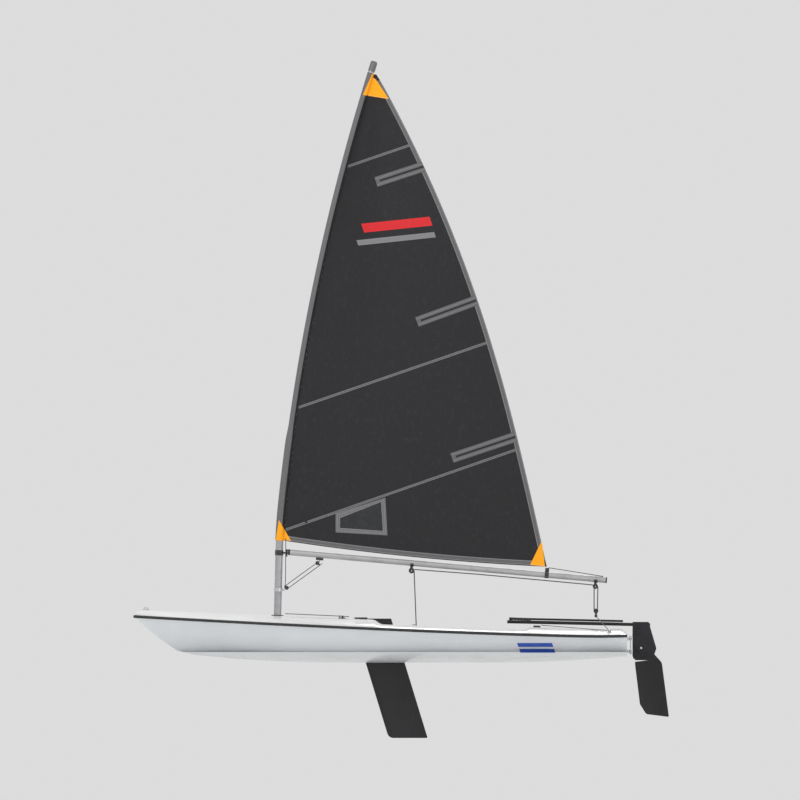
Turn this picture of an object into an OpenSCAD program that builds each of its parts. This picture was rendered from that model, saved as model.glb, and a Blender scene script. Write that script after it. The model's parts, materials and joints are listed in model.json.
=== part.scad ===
// Single-handed sailing dinghy with an unstayed two-part mast, a lifting daggerboard and a kick-up rudder.
// Millimetres. +X is forward, +Y is to port, +Z is up. The origin is on the centreline, on the waterline,
// half way along the hull.

/* [Hull] */
// Length of the hull from the transom to the front of the gunwale strip
hull_length = 4200; // [3500:10:5100]
// Widest part of the hull across the gunwale strips
hull_beam = 1390; // [1150:10:1700]
// Width of the transom at the deck edge
transom_width = 1090; // [900:10:1200]
// Distance from the transom to the widest part of the hull
widest_from_transom = 1900; // [1500:10:2200]
// Lowest height of the deck edge above the water
freeboard_aft = 132; // [110:1:180]
// Height of the deck edge above the water at the stem
freeboard_bow = 302; // [260:1:380]
// Depth of the hull below the water
hull_draft = 91; // [75:1:110]
// Thickness of the hull, deck and cockpit mouldings
laminate = 5; // [4:0.5:6]
// Height of the rolled deck edge above the hull
deck_edge = 42; // [34:1:52]
// Extra crown of the foredeck in front of the cockpit
foredeck_crown = 38; // [20:1:50]
// Extra crown of the deck behind the cockpit
aftdeck_crown = 24; // [10:1:30]

/* [Gunwale strip] */
// Distance that the strip stands out from the hull
strip_width = 15; // [8:1:20]
// Height of the strip
strip_height = 24; // [16:1:32]

/* [Cockpit] */
// Distance from the mast to the front of the cockpit
cockpit_from_mast = 896; // [880:1:1000]
// Length of the cockpit
cockpit_length = 1208; // [1000:1:1450]
// Width of the cockpit at its front
cockpit_width_fwd = 600; // [500:1:700]
// Width of the cockpit at its back
cockpit_width_aft = 540; // [450:1:640]
// Radius of the cockpit's corners in plan
cockpit_corner = 110; // [60:1:130]
// Height of the cockpit floor above the water
cockpit_floor = 20; // [5:1:40]
// Width of the console between the cockpit's front and the mainsheet block
console_width = 120; // [110:1:150]
// Length of the console behind its daggerboard housing
console_length = 190; // [150:1:230]
// Height of the console's top above the cockpit floor
console_height = 155; // [120:1:160]

/* [Rig] */
// Distance from the front of the hull to the mast at the deck
mast_from_bow = 1229; // [1150:1:1300]
// Diameter of the lower mast
lower_mast_d = 63.5; // [56:0.5:76]
// Diameter of the upper mast and of the boom
upper_mast_d = 50.8; // [44:0.2:56]
// Wall of the mast and boom tubes
tube_wall = 2.4; // [1.8:0.1:3.5]
// Lean of the mast at the deck, in degrees
mast_rake = 1.5; // [0:0.1:3]
// Extra lean at the top of the tight bend above the boom, in degrees
mast_low_bend = 4.5; // [2:0.1:5]
// Extra lean of the long bend up to the masthead, in degrees
mast_high_bend = 11.3; // [6:0.1:13]
// Length of the lower mast
lower_mast_length = 1830; // [1650:5:2200]
// Height of the mast tube's top along its curve, measured from the deck
mast_height = 4712; // [4200:2:5200]
// Length of the masthead plug above the tube
plug_length = 90; // [60:1:120]
// Height of the boom's front end along the mast, measured from the deck
boom_height = 536; // [500:1:600]
// Gap from the mast's surface to the boom's front end
gooseneck_reach = 61; // [56:1:80]
// Length of the boom
boom_length = 2692; // [2400:2:3000]
// Drop of the boom towards its back end, in degrees
boom_droop = 5.03; // [2:0.01:7]
// Diameter of the boom
boom_d = 50.8; // [44:0.2:56]

/* [Sail] */
// Height of the sail's tack along the mast, measured from the deck
tack_height = 640; // [620:1:700]
// Gap between the boom's top and the sail at the clew
clew_gap = 44; // [20:1:70]
// Distance from the boom's front end to the clew
clew_on_boom = 2190; // [2000:1:2300]
// Rounding of the leech outside a straight line
roach = 196; // [80:1:240]
// Depth of the foot's curve
foot_round = 30; // [10:1:34]
// Depth of the sail's camber
camber = 95; // [20:1:140]
// Thickness of the sail
sail_t = 2; // [1:0.1:3]
// Thickness of patches and batten pockets
patch_t = 1.2; // [0.8:0.1:2]

/* [Daggerboard] */
// Distance from the mast to the middle of the board at the waterline
board_from_mast = 887; // [870:1:930]
// Lean of the board from vertical, in degrees
board_rake = 17; // [5:1:20]
// Width of the board square to its edges
board_chord = 317; // [265:1:345]
// Thickness of the board
board_t = 36; // [28:1:44]
// Depth of the board's tip below the water
board_depth = 731; // [600:1:880]
// Gap between the board and its case
board_gap = 5; // [5:0.5:8]

/* [Rudder] */
// Distance from the transom to the pintles
pintle_gap = 29; // [26:1:35]
// Diameter of the pintles
pintle_d = 8; // [6:0.5:10]
// Depth of the blade's tip below the water
rudder_depth = 552; // [460:1:660]
// Width of the blade
blade_chord = 240; // [200:1:260]
// Thickness of the blade
blade_t = 20; // [16:1:24]
// Diameter of the bolt that the blade turns on
blade_bolt_d = 10; // [8:0.5:12]
// Thickness of each cheek of the rudder head
cheek_t = 4; // [3:0.5:6]
// Length of the tiller
tiller_length = 1215; // [1000:5:1400]
// Diameter of the tiller
tiller_d = 28; // [22:1:32]
// Length of the tiller extension
extension_length = 960; // [700:5:1000]
// Diameter of the tiller extension
extension_d = 18; // [14:1:20]

/* [Fits] */
// Radial clearance of a pin or shaft in its bore
running_fit = 0.4; // [0.2:0.05:0.8]
// Gap between pieces that are bonded or bolted together
joint_gap = 0.2; // [0.1:0.05:0.4]

/* [Hidden] */

big = 3000;
round_fn = 48;
sweep_fn = 1440;

// ---------------------------------------------------------------- small helpers

function mix(a, b, t) = a + (b - a) * t;
function clamp01(t) = max(0, min(1, t));
function ease(t) = let(c = clamp01(t)) c * c * (3 - 2 * c);
function unit(v) = v / norm(v);
// The larger of two values, rounded where they cross
function soft_max(a, b, r) = (a + b + sqrt((a - b) * (a - b) + r * r)) / 2;
// Quarter of an ellipse, from 0 at the start of a rolled edge to 1 after its width
function roll(d, width) = let(s = 1 - clamp01(d / width)) sqrt(max(0, 1 - s * s));

// Points of an arc that rounds the corner at b between a and c
function corner_arc(a, b, c, r, n) =
    let(u = unit(a - b), v = unit(c - b), open = acos(max(-1, min(1, u * v))),
        centre = b + unit(u + v) * r / sin(open / 2),
        from = b + u * r / tan(open / 2) - centre, to = b + v * r / tan(open / 2) - centre,
        turn = 180 - open)
    [for (i = [0:n]) centre + (from * sin(turn * (1 - i / n)) + to * sin(turn * i / n)) / sin(turn)];

// A closed outline with each of its corners rounded by its own radius
function rounded(points, radii, n = 6) =
    let(count = len(points))
    [for (i = [0:count - 1]) each radii[i] <= 0 ? [points[i]]
        : corner_arc(points[(i + count - 1) % count], points[i], points[(i + 1) % count], radii[i], n)];

// Extrudes an outline drawn in X and Z along Y, centred on the middle of the hull
module side_plate(outline, width) {
    rotate([90, 0, 0]) linear_extrude(width, center = true) polygon(outline);
}

// A cylinder along Y
module cross_pin(r, width) {
    rotate([90, 0, 0]) cylinder(r = r, h = width, center = true, $fn = round_fn);
}

// Two triangles for the quadrilateral a, b, c, d
function quad(a, b, c, d) = [[a, b, c], [a, c, d]];

// ---------------------------------------------------------------- hull form

stem_x = hull_length / 2 - strip_width;
transom_x = -hull_length / 2;
mast_x = hull_length / 2 - mast_from_bow;
cockpit_front = mast_x - cockpit_from_mast;
cockpit_back = cockpit_front - cockpit_length;
widest_x = transom_x + widest_from_transom;
half_beam = hull_beam / 2 - strip_width;
plan_power = 0.72;
sheer_low = 0.055;
sheer_power = 1.33;
keel_flat_from = 0.257;
keel_flat_to = 0.581;
rocker_aft = 53;
rocker_aft_power = 1.7;
rocker_fwd = 121;
rocker_fwd_power = 1.8;
stem_slope = 0.95;
stem_round = 2280;
stem_lip = 6;
forefoot_round = 24;
edge_roll = 60;
edge_power = 8;
front_step = 85;
back_step = 36;
bow_crown_share = 0.5;

function along(x) = (x - transom_x) / hull_length;

// Half the width of the hull at the deck edge
function half_breadth(x) = x > widest_x
    ? half_beam * pow(max(0, 1 - pow((x - widest_x) / (stem_x - widest_x), 2)), plan_power)
    : mix(half_beam, transom_width / 2, pow((widest_x - x) / widest_from_transom, 2));

// Height of the deck edge
function sheer(x) = freeboard_aft
    + (freeboard_bow - freeboard_aft) * pow(abs(along(x) - sheer_low) / (1 - sheer_low), sheer_power);

// Height of the stem line, which leans back from the bow
function stem(x) = let(back = stem_x - x) sheer(stem_x) - stem_lip - back * stem_slope * (1 - back / stem_round);

// Height of the bottom along the centreline
function bottom(x) = let(u = along(x)) -hull_draft
    + (u > keel_flat_to ? rocker_fwd * pow((u - keel_flat_to) / (1 - keel_flat_to), rocker_fwd_power) : 0)
    + (u < keel_flat_from ? rocker_aft * pow((keel_flat_from - u) / keel_flat_from, rocker_aft_power) : 0);

function keel(x) = stem_x - x > stem_round / 3 ? bottom(x) : soft_max(bottom(x), stem(x), forefoot_round);

// Share of a section's depth at a share of its half width: a little deadrise plus a round bilge
function section(x, s) =
    let(fore = ease((along(x) - 0.55) / 0.45), power = 3.6 - 1.8 * fore, deadrise = 0.06 + 0.7 * pow(fore, 1.5))
    deadrise * s + (1 - deadrise) * pow(s, power);

// Height of the deck above its edge, at a share of the half width; inset moves it to the under side
function deck_rise(x, s, inset) =
    let(fwd = foredeck_crown * mix(1, bow_crown_share, clamp01((x - cockpit_front) / (stem_x - cockpit_front)))
            * ease((x - cockpit_front) / front_step),
        aft = aftdeck_crown * ease((cockpit_back - x) / back_step))
    ((deck_edge - inset) * (1 - pow(abs(s), edge_power)) + (fwd + aft) * (1 - s * s))
        * roll(x - transom_x - inset, edge_roll - inset) * roll(stem_x - x, edge_roll);

function deck_top(x, y) = sheer(x) + deck_rise(x, min(1, abs(y) / half_breadth(x)), 0);

// Stations from the transom to the stem: close together at the ends and at the cockpit's two steps
stations = [
    each [for (i = [0:2]) transom_x + edge_roll * (1 - cos(30 * i))],
    each [for (i = [0:4]) mix(transom_x + edge_roll, cockpit_back - back_step, i / 5)],
    each [for (i = [0:2]) mix(cockpit_back - back_step, cockpit_back, i / 3)],
    each [for (i = [0:6]) mix(cockpit_back, cockpit_front, i / 7)],
    each [for (i = [0:3]) mix(cockpit_front, cockpit_front + front_step, i / 4)],
    each [for (i = [0:12]) mix(cockpit_front + front_step, stem_x, sin(90 * i / 13))],
    stem_x - 2];
last = len(stations) - 1;
// The mouldings are solid forward of this station
solid_from = last - 2;
inner_stations = [transom_x + laminate, each [for (i = [1:solid_from]) stations[i]]];
side_steps = 11;
across = 2 * side_steps;

function side_share(j) = (j - side_steps) / side_steps;
function deck_share(j) = sign(side_share(j)) * sin(90 * abs(side_share(j)));

// One ring of the hull's skin from starboard to port; inset moves it to the inside
function hull_ring(x, inset) = [for (j = [0:across]) let(s = side_share(j))
    [x, s * (half_breadth(x) - inset), mix(keel(x) + inset, sheer(x), section(x, abs(s)))]];

function deck_ring(x, inset) = [for (j = [0:across]) let(s = deck_share(j))
    [x, s * (half_breadth(x) - inset), sheer(x) + deck_rise(x, s, inset)]];

ring = across + 1;
inner_from = (last + 1) * ring;
function out_i(i, j) = i * ring + j;
function in_i(i, j) = inner_from + i * ring + j;
function ring_up(i) = [for (j = [0:across]) out_i(i, j)];
function inner_up(i) = [for (j = [0:across]) in_i(i, j)];
function reversed(list) = [for (i = [len(list) - 1:-1:0]) list[i]];

// Faces shared by both mouldings: the flat rim that they meet on, seen from the hull's side
rim_faces = [
    for (i = [0:solid_from - 1]) each quad(out_i(i, across), out_i(i + 1, across), in_i(i + 1, across),
        in_i(i, across)),
    for (i = [0:solid_from - 1]) each quad(in_i(i, 0), in_i(i + 1, 0), out_i(i + 1, 0), out_i(i, 0)),
    [in_i(solid_from, 0), in_i(solid_from, across), out_i(solid_from, across), out_i(solid_from + 1, across),
        out_i(solid_from + 1, 0), out_i(solid_from, 0)],
    for (i = [solid_from + 1:last - 1]) [out_i(i, 0), out_i(i, across), out_i(i + 1, across), out_i(i + 1, 0)]];

module hull_skin() {
    points = [for (x = stations) each hull_ring(x, 0), for (x = inner_stations) each hull_ring(x, laminate)];
    faces = [
        for (i = [0:last - 1], j = [0:across - 1])
            each quad(out_i(i, j), out_i(i, j + 1), out_i(i + 1, j + 1), out_i(i + 1, j)),
        for (i = [0:solid_from - 1], j = [0:across - 1])
            each quad(in_i(i, j), in_i(i + 1, j), in_i(i + 1, j + 1), in_i(i, j + 1)),
        reversed(ring_up(0)), ring_up(last), inner_up(0), reversed(inner_up(solid_from)),
        for (f = rim_faces) reversed(f),
        [in_i(0, 0), in_i(0, across), out_i(0, across), out_i(0, 0)]];
    polyhedron(points, [for (f = faces) reversed(f)], convexity = 8);
}

module deck_skin() {
    points = [for (x = stations) each deck_ring(x, 0), for (x = inner_stations) each deck_ring(x, laminate)];
    faces = [
        for (i = [0:last - 1], j = [0:across - 1])
            each quad(out_i(i, j), out_i(i + 1, j), out_i(i + 1, j + 1), out_i(i, j + 1)),
        for (i = [0:solid_from - 1], j = [0:across - 1])
            each quad(in_i(i, j), in_i(i, j + 1), in_i(i + 1, j + 1), in_i(i + 1, j)),
        reversed(ring_up(last)), inner_up(solid_from),
        each rim_faces,
        [each ring_up(0), each reversed(inner_up(0))]];
    polyhedron(points, [for (f = faces) reversed(f)], convexity = 8);
}

// Everything above the deck along the centreline, used to trim pieces flush with it
module above_deck() {
    near = [for (x = stations) if (x > cockpit_back && x < mast_x) [x, deck_top(x, 0)]];
    side_plate([each near, [near[len(near) - 1][0], big], [near[0][0], big]], big);
}

// Puts a fitting on the deck, square to the surface there
module on_deck(x, y, turn = 0) {
    reach = 15;
    lean_x = atan((deck_top(x + reach, y) - deck_top(x - reach, y)) / (2 * reach));
    lean_y = atan((deck_top(x, y + reach) - deck_top(x, y - reach)) / (2 * reach));
    translate([x, y, deck_top(x, y) + joint_gap]) rotate([lean_y, -lean_x, 0]) rotate([0, 0, turn]) children();
}

// ---------------------------------------------------------------- cockpit and daggerboard case

board_x = mast_x - board_from_mast;
case_wall = 5;
case_round = 14;
case_length = board_chord + 2 * (board_gap + case_wall);
case_width = board_t + 2 * (board_gap + case_wall);
tongue_wall = 28;
// The deck's tongue reaches back over the case
case_back = board_x - case_length / 2 / cos(board_rake) + deck_top(cockpit_front - 1, 0) * tan(board_rake);
tongue_length = cockpit_front - case_back + tongue_wall;
tongue_round = 24;
strap_width = 50;

module raked() {
    translate([board_x, 0, 0]) rotate([0, board_rake, 0]) children();
}

// Outline of the cockpit in plan with its tongue at the front, moved inwards by inset
function cockpit_outline(inset) =
    let(front = cockpit_front - inset, back = cockpit_back + inset, fwd = cockpit_width_fwd / 2 - inset,
        aft = cockpit_width_aft / 2 - inset, side = console_width / 2 + inset,
        tip = cockpit_front - tongue_length - inset, r = cockpit_corner - inset,
        small = tongue_round - inset, large = tongue_round + inset)
    rounded([[front, fwd], [back, aft], [back, -aft], [front, -fwd], [front, -side], [tip, -side],
        [tip, side], [front, side]], [r, r, r, r, small, large, large, small]);

function case_outline(grow) =
    let(l = case_length / 2 + grow, w = case_width / 2 + grow, r = case_round + grow)
    rounded([[l, w], [-l, w], [-l, -w], [l, -w]], [r, r, r, r]);

module case_column(grow) {
    raked() translate([0, 0, -big / 2]) linear_extrude(big) polygon(case_outline(grow));
}

module hull_moulding() {
    color([0.92, 0.93, 0.94]) difference() {
        hull_skin();
        case_column(joint_gap);
    }
}

mast_radius = lower_mast_d / 2;
step_wall = 6;
step_radius = mast_radius + running_fit + step_wall;
step_floor = 55;
step_flange = 14;
step_lip = 6;
mast_foot = [mast_x, 0, deck_top(mast_x, 0)];
step_depth = mast_foot[2] + step_floor;

module at_mast_foot() {
    translate(mast_foot) rotate([0, -mast_rake, 0]) children();
}

// Cut out as one shell, since the deck's skin is a single curved sheet
module deck_moulding() {
    color([0.96, 0.96, 0.95]) resize([0, 0, 0]) difference() {
        deck_skin();
        translate([0, 0, -big / 2]) linear_extrude(big) polygon(cockpit_outline(0));
        case_column(joint_gap);
        at_mast_foot() cylinder(r = step_radius + joint_gap, h = 400, center = true, $fn = round_fn);
    }
}

module cockpit_tub() {
    tub_front = deck_top(cockpit_front - 1, 0);
    tub_back = deck_top(cockpit_back + 1, 0);
    over = 200;
    slope = (tub_front - tub_back) / cockpit_length;
    color([0.95, 0.95, 0.94]) difference() {
        translate([0, 0, cockpit_floor - laminate])
            linear_extrude(tub_front - cockpit_floor + laminate + over) polygon(cockpit_outline(joint_gap));
        translate([0, 0, cockpit_floor]) linear_extrude(big) polygon(cockpit_outline(joint_gap + laminate));
        side_plate([[cockpit_front + over, tub_front + slope * over], [cockpit_back - over, tub_back - slope * over],
            [cockpit_back - over, big], [cockpit_front + over, big]], big);
        case_column(joint_gap);
    }
}

module daggerboard_case() {
    color([0.9, 0.9, 0.9]) difference() {
        case_column(0);
        raked() translate([0, 0, -big / 2]) linear_extrude(big) polygon(case_outline(-case_wall));
        translate([-big, -big, -2 * big - hull_draft + 0.5]) cube(2 * big);
        above_deck();
    }
}

console_front = cockpit_front - tongue_length - laminate - 2 * joint_gap;
console_round = 20;

module mainsheet_console() {
    w = console_width / 2;
    back = console_front - console_length;
    outline = rounded([[console_front, w], [back, w], [back, -w], [console_front, -w]],
        [0, console_round, console_round, 0]);
    color([0.94, 0.94, 0.93]) difference() {
        translate([0, 0, cockpit_floor + joint_gap]) linear_extrude(console_height) polygon(outline);
        case_column(joint_gap);
    }
}

// ---------------------------------------------------------------- gunwale strip

// A point of the strip's path, and the outward direction there, going round the bow from starboard to port
function strip_point(k) = let(i = k <= last ? k : 2 * last + 1 - k, side = k <= last ? -1 : 1, x = stations[i])
    [x, side * half_breadth(x), sheer(x)];
function strip_normal(k) =
    let(a = strip_point(max(0, k - 1)), b = strip_point(min(2 * last + 1, k + 1)), t = unit([b[0] - a[0], b[1] - a[1]]))
    [t[1], -t[0], 0];

module gunwale_strip() {
    h = strip_height / 2;
    profile = [[joint_gap, -h], [strip_width * 0.7, -h], [strip_width, -h * 0.4], [strip_width, h * 0.4],
        [strip_width * 0.7, h], [joint_gap, h]];
    sides = len(profile);
    count = 2 * last + 2;
    points = [for (k = [0:count - 1], p = profile) strip_point(k) + strip_normal(k) * p[0] + [0, 0, p[1]]];
    faces = [
        for (k = [0:count - 2], j = [0:sides - 1])
            each quad(k * sides + j, k * sides + (j + 1) % sides, (k + 1) * sides + (j + 1) % sides,
                (k + 1) * sides + j),
        [for (j = [sides - 1:-1:0]) j],
        [for (j = [0:sides - 1]) (count - 1) * sides + j]];
    color([0.1, 0.1, 0.1]) polyhedron(points, faces, convexity = 6);
}

// ---------------------------------------------------------------- fittings on the hull

module mast_step() {
    flange_r = step_radius + step_flange;
    color([0.15, 0.15, 0.15]) difference() {
        union() {
            at_mast_foot() translate([0, 0, -step_depth - step_wall])
                cylinder(r = step_radius, h = step_depth + step_wall + step_lip, $fn = round_fn);
            on_deck(mast_x, 0) cylinder(r = flange_r, h = step_lip, $fn = round_fn);
        }
        at_mast_foot() translate([0, 0, -step_depth])
            cylinder(r = mast_radius + running_fit, h = big, $fn = round_fn);
    }
}

bow_eye_back = 95;
bow_eye_r = 7;
bow_eye_t = 6;

module bow_eye() {
    plate = rounded([[28, 0], [14, 26], [-14, 26], [-28, 0]], [0, 10, 10, 0], 4);
    color([0.75, 0.76, 0.78]) on_deck(stem_x - bow_eye_back, 0) difference() {
        union() {
            side_plate(plate, bow_eye_t);
            linear_extrude(3) polygon(rounded([[34, 14], [-34, 14], [-34, -14], [34, -14]], [8, 8, 8, 8], 4));
        }
        translate([0, 0, 14]) cross_pin(bow_eye_r, 40);
    }
}

cleat_spread = 44;
cleats_ahead = 78;

// A cam cleat: two toothed cams on a base, with a fairlead over the rope in front of them
module cam_cleat() {
    union() {
        linear_extrude(7) polygon(rounded([[30, 19], [-30, 19], [-30, -19], [30, -19]], [9, 9, 9, 9], 4));
        for (side = [-1, 1]) translate([-4, side * 11.5, 6.5]) cylinder(r = 8.5, h = 17, $fn = round_fn);
        for (side = [-1, 1]) translate([20, side * 13 - 2.5, 6.5]) cube([6, 5, 16]);
        translate([20, -15.5, 20]) cube([6, 31, 5]);
    }
}

module control_line_cleats() {
    x = board_x + case_length / 2 / cos(board_rake) + deck_top(cockpit_front + front_step, 0) * tan(board_rake)
        + cleats_ahead;
    color([0.12, 0.12, 0.12]) for (side = [-1, 1]) on_deck(x, side * cleat_spread) cam_cleat();
}

// A block with its wheel's axis along Y, its head towards +Z and the origin at the axis
module pulley(r, w, neck) {
    cheek = 2.4;
    color([0.12, 0.12, 0.12]) union() {
        rotate([90, 0, 0]) difference() {
            cylinder(r = r, h = w + 0.2, center = true, $fn = round_fn);
            rotate_extrude($fn = round_fn) translate([r + w * 0.15, 0]) circle(r = w * 0.42, $fn = 24);
        }
        for (side = [-1, 1]) translate([0, side * (w + cheek) / 2, 0]) {
            cross_pin(r + 2.5, cheek);
            translate([-r * 0.55, -cheek / 2, 0]) cube([r * 1.1, cheek, r + neck]);
        }
        translate([-r * 0.55, -w / 2 - cheek, r + neck - 5]) cube([r * 1.1, w + 2 * cheek, 5]);
    }
}

ratchet_r = 26;
ratchet_w = 13;
ratchet_base = 5;
ratchet_lift = 3.5;
console_top = cockpit_floor + joint_gap + console_height;
ratchet_x = console_front - console_length + 52;

module ratchet_block() {
    color([0.12, 0.12, 0.12]) translate([ratchet_x, 0, console_top + joint_gap]) {
        cylinder(r = 24, h = ratchet_base, $fn = round_fn);
        for (side = [-1, 1])
            translate([-11, side * (ratchet_w / 2 + 3.5) - 2.5, 0]) cube([22, 5, ratchet_r + 8]);
        translate([0, 0, ratchet_r + ratchet_base + ratchet_lift]) {
            cross_pin(6, ratchet_w + 12);
            rotate([90, 0, 0]) difference() {
                cylinder(r = ratchet_r, h = ratchet_w + 0.6, center = true, $fn = round_fn);
                rotate_extrude($fn = round_fn) translate([ratchet_r + 2, 0]) circle(r = 5.6, $fn = 24);
            }
        }
    }
}

strap_t = 3;
strap_sag = 22;
strap_front = [console_front - console_length - 14, 84];
strap_back = [cockpit_back + laminate + 22, 118];
anchor_t = 6;

function strap_line(t) = [mix(strap_front[0], strap_back[0], t),
    mix(strap_front[1], strap_back[1], t) - strap_sag * 4 * t * (1 - t)];

module hiking_strap() {
    steps = 16;
    top = [for (i = [0:steps]) strap_line(i / steps)];
    color([0.13, 0.13, 0.14])
        side_plate([each top, each [for (p = reversed(top)) p - [0, strap_t]]], strap_width);
}

module strap_anchors() {
    console_back = console_front - console_length;
    color([0.7, 0.71, 0.73]) {
        translate([console_back - joint_gap - anchor_t, -strap_width / 2 - 8, strap_front[1] - 22])
            cube([anchor_t, strap_width + 16, 40]);
        translate([cockpit_back + laminate + 2 * joint_gap, -strap_width / 2 - 8, strap_back[1] - 22])
            cube([anchor_t, strap_width + 16, 40]);
    }
}

fairlead_from_transom = 150;
fairlead_in = 75;
fairlead_r = 5;

module traveller_fairleads() {
    x = transom_x + fairlead_from_transom;
    y = half_breadth(x) - fairlead_in;
    color([0.75, 0.76, 0.78]) for (side = [-1, 1]) on_deck(x, side * y) difference() {
        union() {
            linear_extrude(4) polygon(rounded([[24, 10], [-24, 10], [-24, -10], [24, -10]], [8, 8, 8, 8], 4));
            side_plate(rounded([[15, 0], [11, 22], [-11, 22], [-15, 0]], [0, 9, 9, 0], 4), 9);
        }
        translate([0, 0, 13]) cross_pin(fairlead_r, 40);
    }
}

cleat_from_back = 100;

module traveller_cleat() {
    body = rounded([[34, 0], [26, 15], [-26, 15], [-34, 0]], [0, 5, 5, 0], 4);
    color([0.12, 0.12, 0.12]) on_deck(cockpit_back - cleat_from_back, 0) difference() {
        side_plate(body, 22);
        translate([0, 0, 17]) rotate([0, 90, 0]) cylinder(r = 4.5, h = 90, center = true, $fn = round_fn);
    }
}

bung_r = 15;
bung_up = 45;
bung_side = 130;

module transom_bung() {
    color([0.12, 0.12, 0.12]) translate([transom_x - joint_gap, -bung_side, keel(transom_x) + bung_up]) rotate([0, -90, 0]) {
        cylinder(r = bung_r, h = 4, $fn = round_fn);
        cylinder(r = 9, h = 11, $fn = 6);
    }
}

// ---------------------------------------------------------------- mast and boom

straight_length = 560;
low_bend_length = 400;
low_radius = low_bend_length / (mast_low_bend * PI / 180);
high_from = straight_length + low_bend_length;
high_radius = (mast_height - high_from) / (mast_high_bend * PI / 180);

// The end of an arc of the mast that starts at p leaning by a0 and ends leaning by a1
function bent(p, r, a0, a1) = [p[0] + r * (cos(a1) - cos(a0)), p[1] + r * (sin(a1) - sin(a0))];

mast_start = [mast_foot[0], mast_foot[2]];
low_start = mast_start + straight_length * [-sin(mast_rake), cos(mast_rake)];
high_start = bent(low_start, low_radius, mast_rake, mast_rake + mast_low_bend);

// Lean of the mast, in degrees, at a distance along it from the deck
function mast_lean(s) = s <= straight_length ? mast_rake
    : s <= high_from ? mast_rake + mast_low_bend * (s - straight_length) / low_bend_length
    : mast_rake + mast_low_bend + (s - high_from) / high_radius * 180 / PI;

// Centre of the mast, as X and Z, at a distance along it from the deck
function mast_at(s) = s <= straight_length ? mast_start + s * [-sin(mast_rake), cos(mast_rake)]
    : s <= high_from ? bent(low_start, low_radius, mast_rake, mast_lean(s))
    : bent(high_start, high_radius, mast_rake + mast_low_bend, mast_lean(s));

// The direction away from the mast's front, as X and Z
function mast_aft(s) = [-cos(mast_lean(s)), -sin(mast_lean(s))];

module on_mast(s) {
    p = mast_at(s);
    translate([p[0], 0, p[1]]) rotate([0, -mast_lean(s), 0]) children();
}

// A bent tube of the mast between two leans
module mast_arc(start, r, a0, a1, from, to, r_out, r_in) {
    centre = start - r * [cos(a0), sin(a0)];
    translate([centre[0], 0, centre[1]]) rotate([90, 0, 0]) rotate([0, 0, from])
        rotate_extrude(angle = to - from, $fn = sweep_fn) translate([r, 0]) difference() {
            circle(r = r_out, $fn = round_fn);
            circle(r = r_in, $fn = round_fn);
        }
}

low_lean = mast_rake + mast_low_bend;
lower_top = lower_mast_length - step_depth;
upper_radius = upper_mast_d / 2;
mast_overlap = 300;
collar_height = 14;
collar_wall = 2;
mast_sides = 32;

module high_arc(s0, s1, r_out, r_in) {
    mast_arc(high_start, high_radius, low_lean, low_lean + mast_high_bend, mast_lean(s0), mast_lean(s1), r_out, r_in);
}

// A tube following the mast, with its outer and inner radius given at each mark along it
module tube_along(marks, outer, inner, sides) {
    last = len(marks) - 1;
    layer = sides * len(marks);
    function id(side, i, j) = side * layer + i * sides + j % sides;
    points = [for (radii = [inner, outer], i = [0:last], j = [0:sides - 1])
        let(c = mast_at(marks[i]), lean = mast_lean(marks[i]), a = 360 * j / sides, r = radii[i] / cos(180 / sides))
        [c[0] + cos(a) * cos(lean) * r, sin(a) * r, c[1] + cos(a) * sin(lean) * r]];
    faces = [
        for (i = [0:last - 1], j = [0:sides - 1])
            each quad(id(1, i, j), id(1, i + 1, j), id(1, i + 1, j + 1), id(1, i, j + 1)),
        for (i = [0:last - 1], j = [0:sides - 1])
            each quad(id(0, i, j), id(0, i, j + 1), id(0, i + 1, j + 1), id(0, i + 1, j)),
        for (j = [0:sides - 1]) each quad(id(0, 0, j), id(1, 0, j), id(1, 0, j + 1), id(0, 0, j + 1)),
        for (j = [0:sides - 1])
            each quad(id(0, last, j), id(0, last, j + 1), id(1, last, j + 1), id(1, last, j))];
    polyhedron(points, faces, convexity = 6);
}

lower_marks = [running_fit - step_depth, 0, straight_length,
    each [for (i = [1:3]) mix(straight_length, high_from, i / 3)],
    each [for (i = [1:2]) mix(high_from, lower_top, i / 2)]];

module lower_mast() {
    color([0.57, 0.57, 0.59]) tube_along(lower_marks, [for (m = lower_marks) mast_radius],
        [for (m = lower_marks) mast_radius - tube_wall], mast_sides);
}

module upper_mast() {
    color([0.57, 0.57, 0.59])
        high_arc(lower_top - mast_overlap, mast_height, upper_radius, upper_radius - tube_wall);
}

module mast_collar() {
    plug_depth = 24;
    color([0.12, 0.12, 0.12]) on_mast(lower_top) difference() {
        union() {
            translate([0, 0, joint_gap])
                cylinder(r = mast_radius + collar_wall, h = collar_height - joint_gap, $fn = round_fn);
            translate([0, 0, -plug_depth])
                cylinder(r = mast_radius - tube_wall - joint_gap, h = plug_depth + 1, $fn = round_fn);
        }
        cylinder(r = upper_radius + joint_gap, h = 200, center = true, $fn = round_fn);
    }
}

module masthead_plug() {
    cap_r = upper_radius + 4;
    color([0.4, 0.4, 0.41]) on_mast(mast_height) union() {
        translate([0, 0, joint_gap]) cylinder(r = cap_r, h = plug_length - 12, $fn = round_fn);
        translate([0, 0, plug_length - 13]) cylinder(r1 = cap_r, r2 = cap_r - 9, h = 13, $fn = round_fn);
        translate([0, 0, -60]) cylinder(r = upper_radius - tube_wall - joint_gap, h = 61, $fn = round_fn);
    }
}

boom_radius = boom_d / 2;
band_t = 4;
band_height = 44;
lug_t = 12;
gooseneck_pin_r = 5;
boom_front = mast_at(boom_height) + [-mast_radius - gooseneck_reach, 4];

// A point along the boom's axis, as X and Z, at a distance from its front end
function boom_at(d) = boom_front - d * [cos(boom_droop), sin(boom_droop)];

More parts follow.
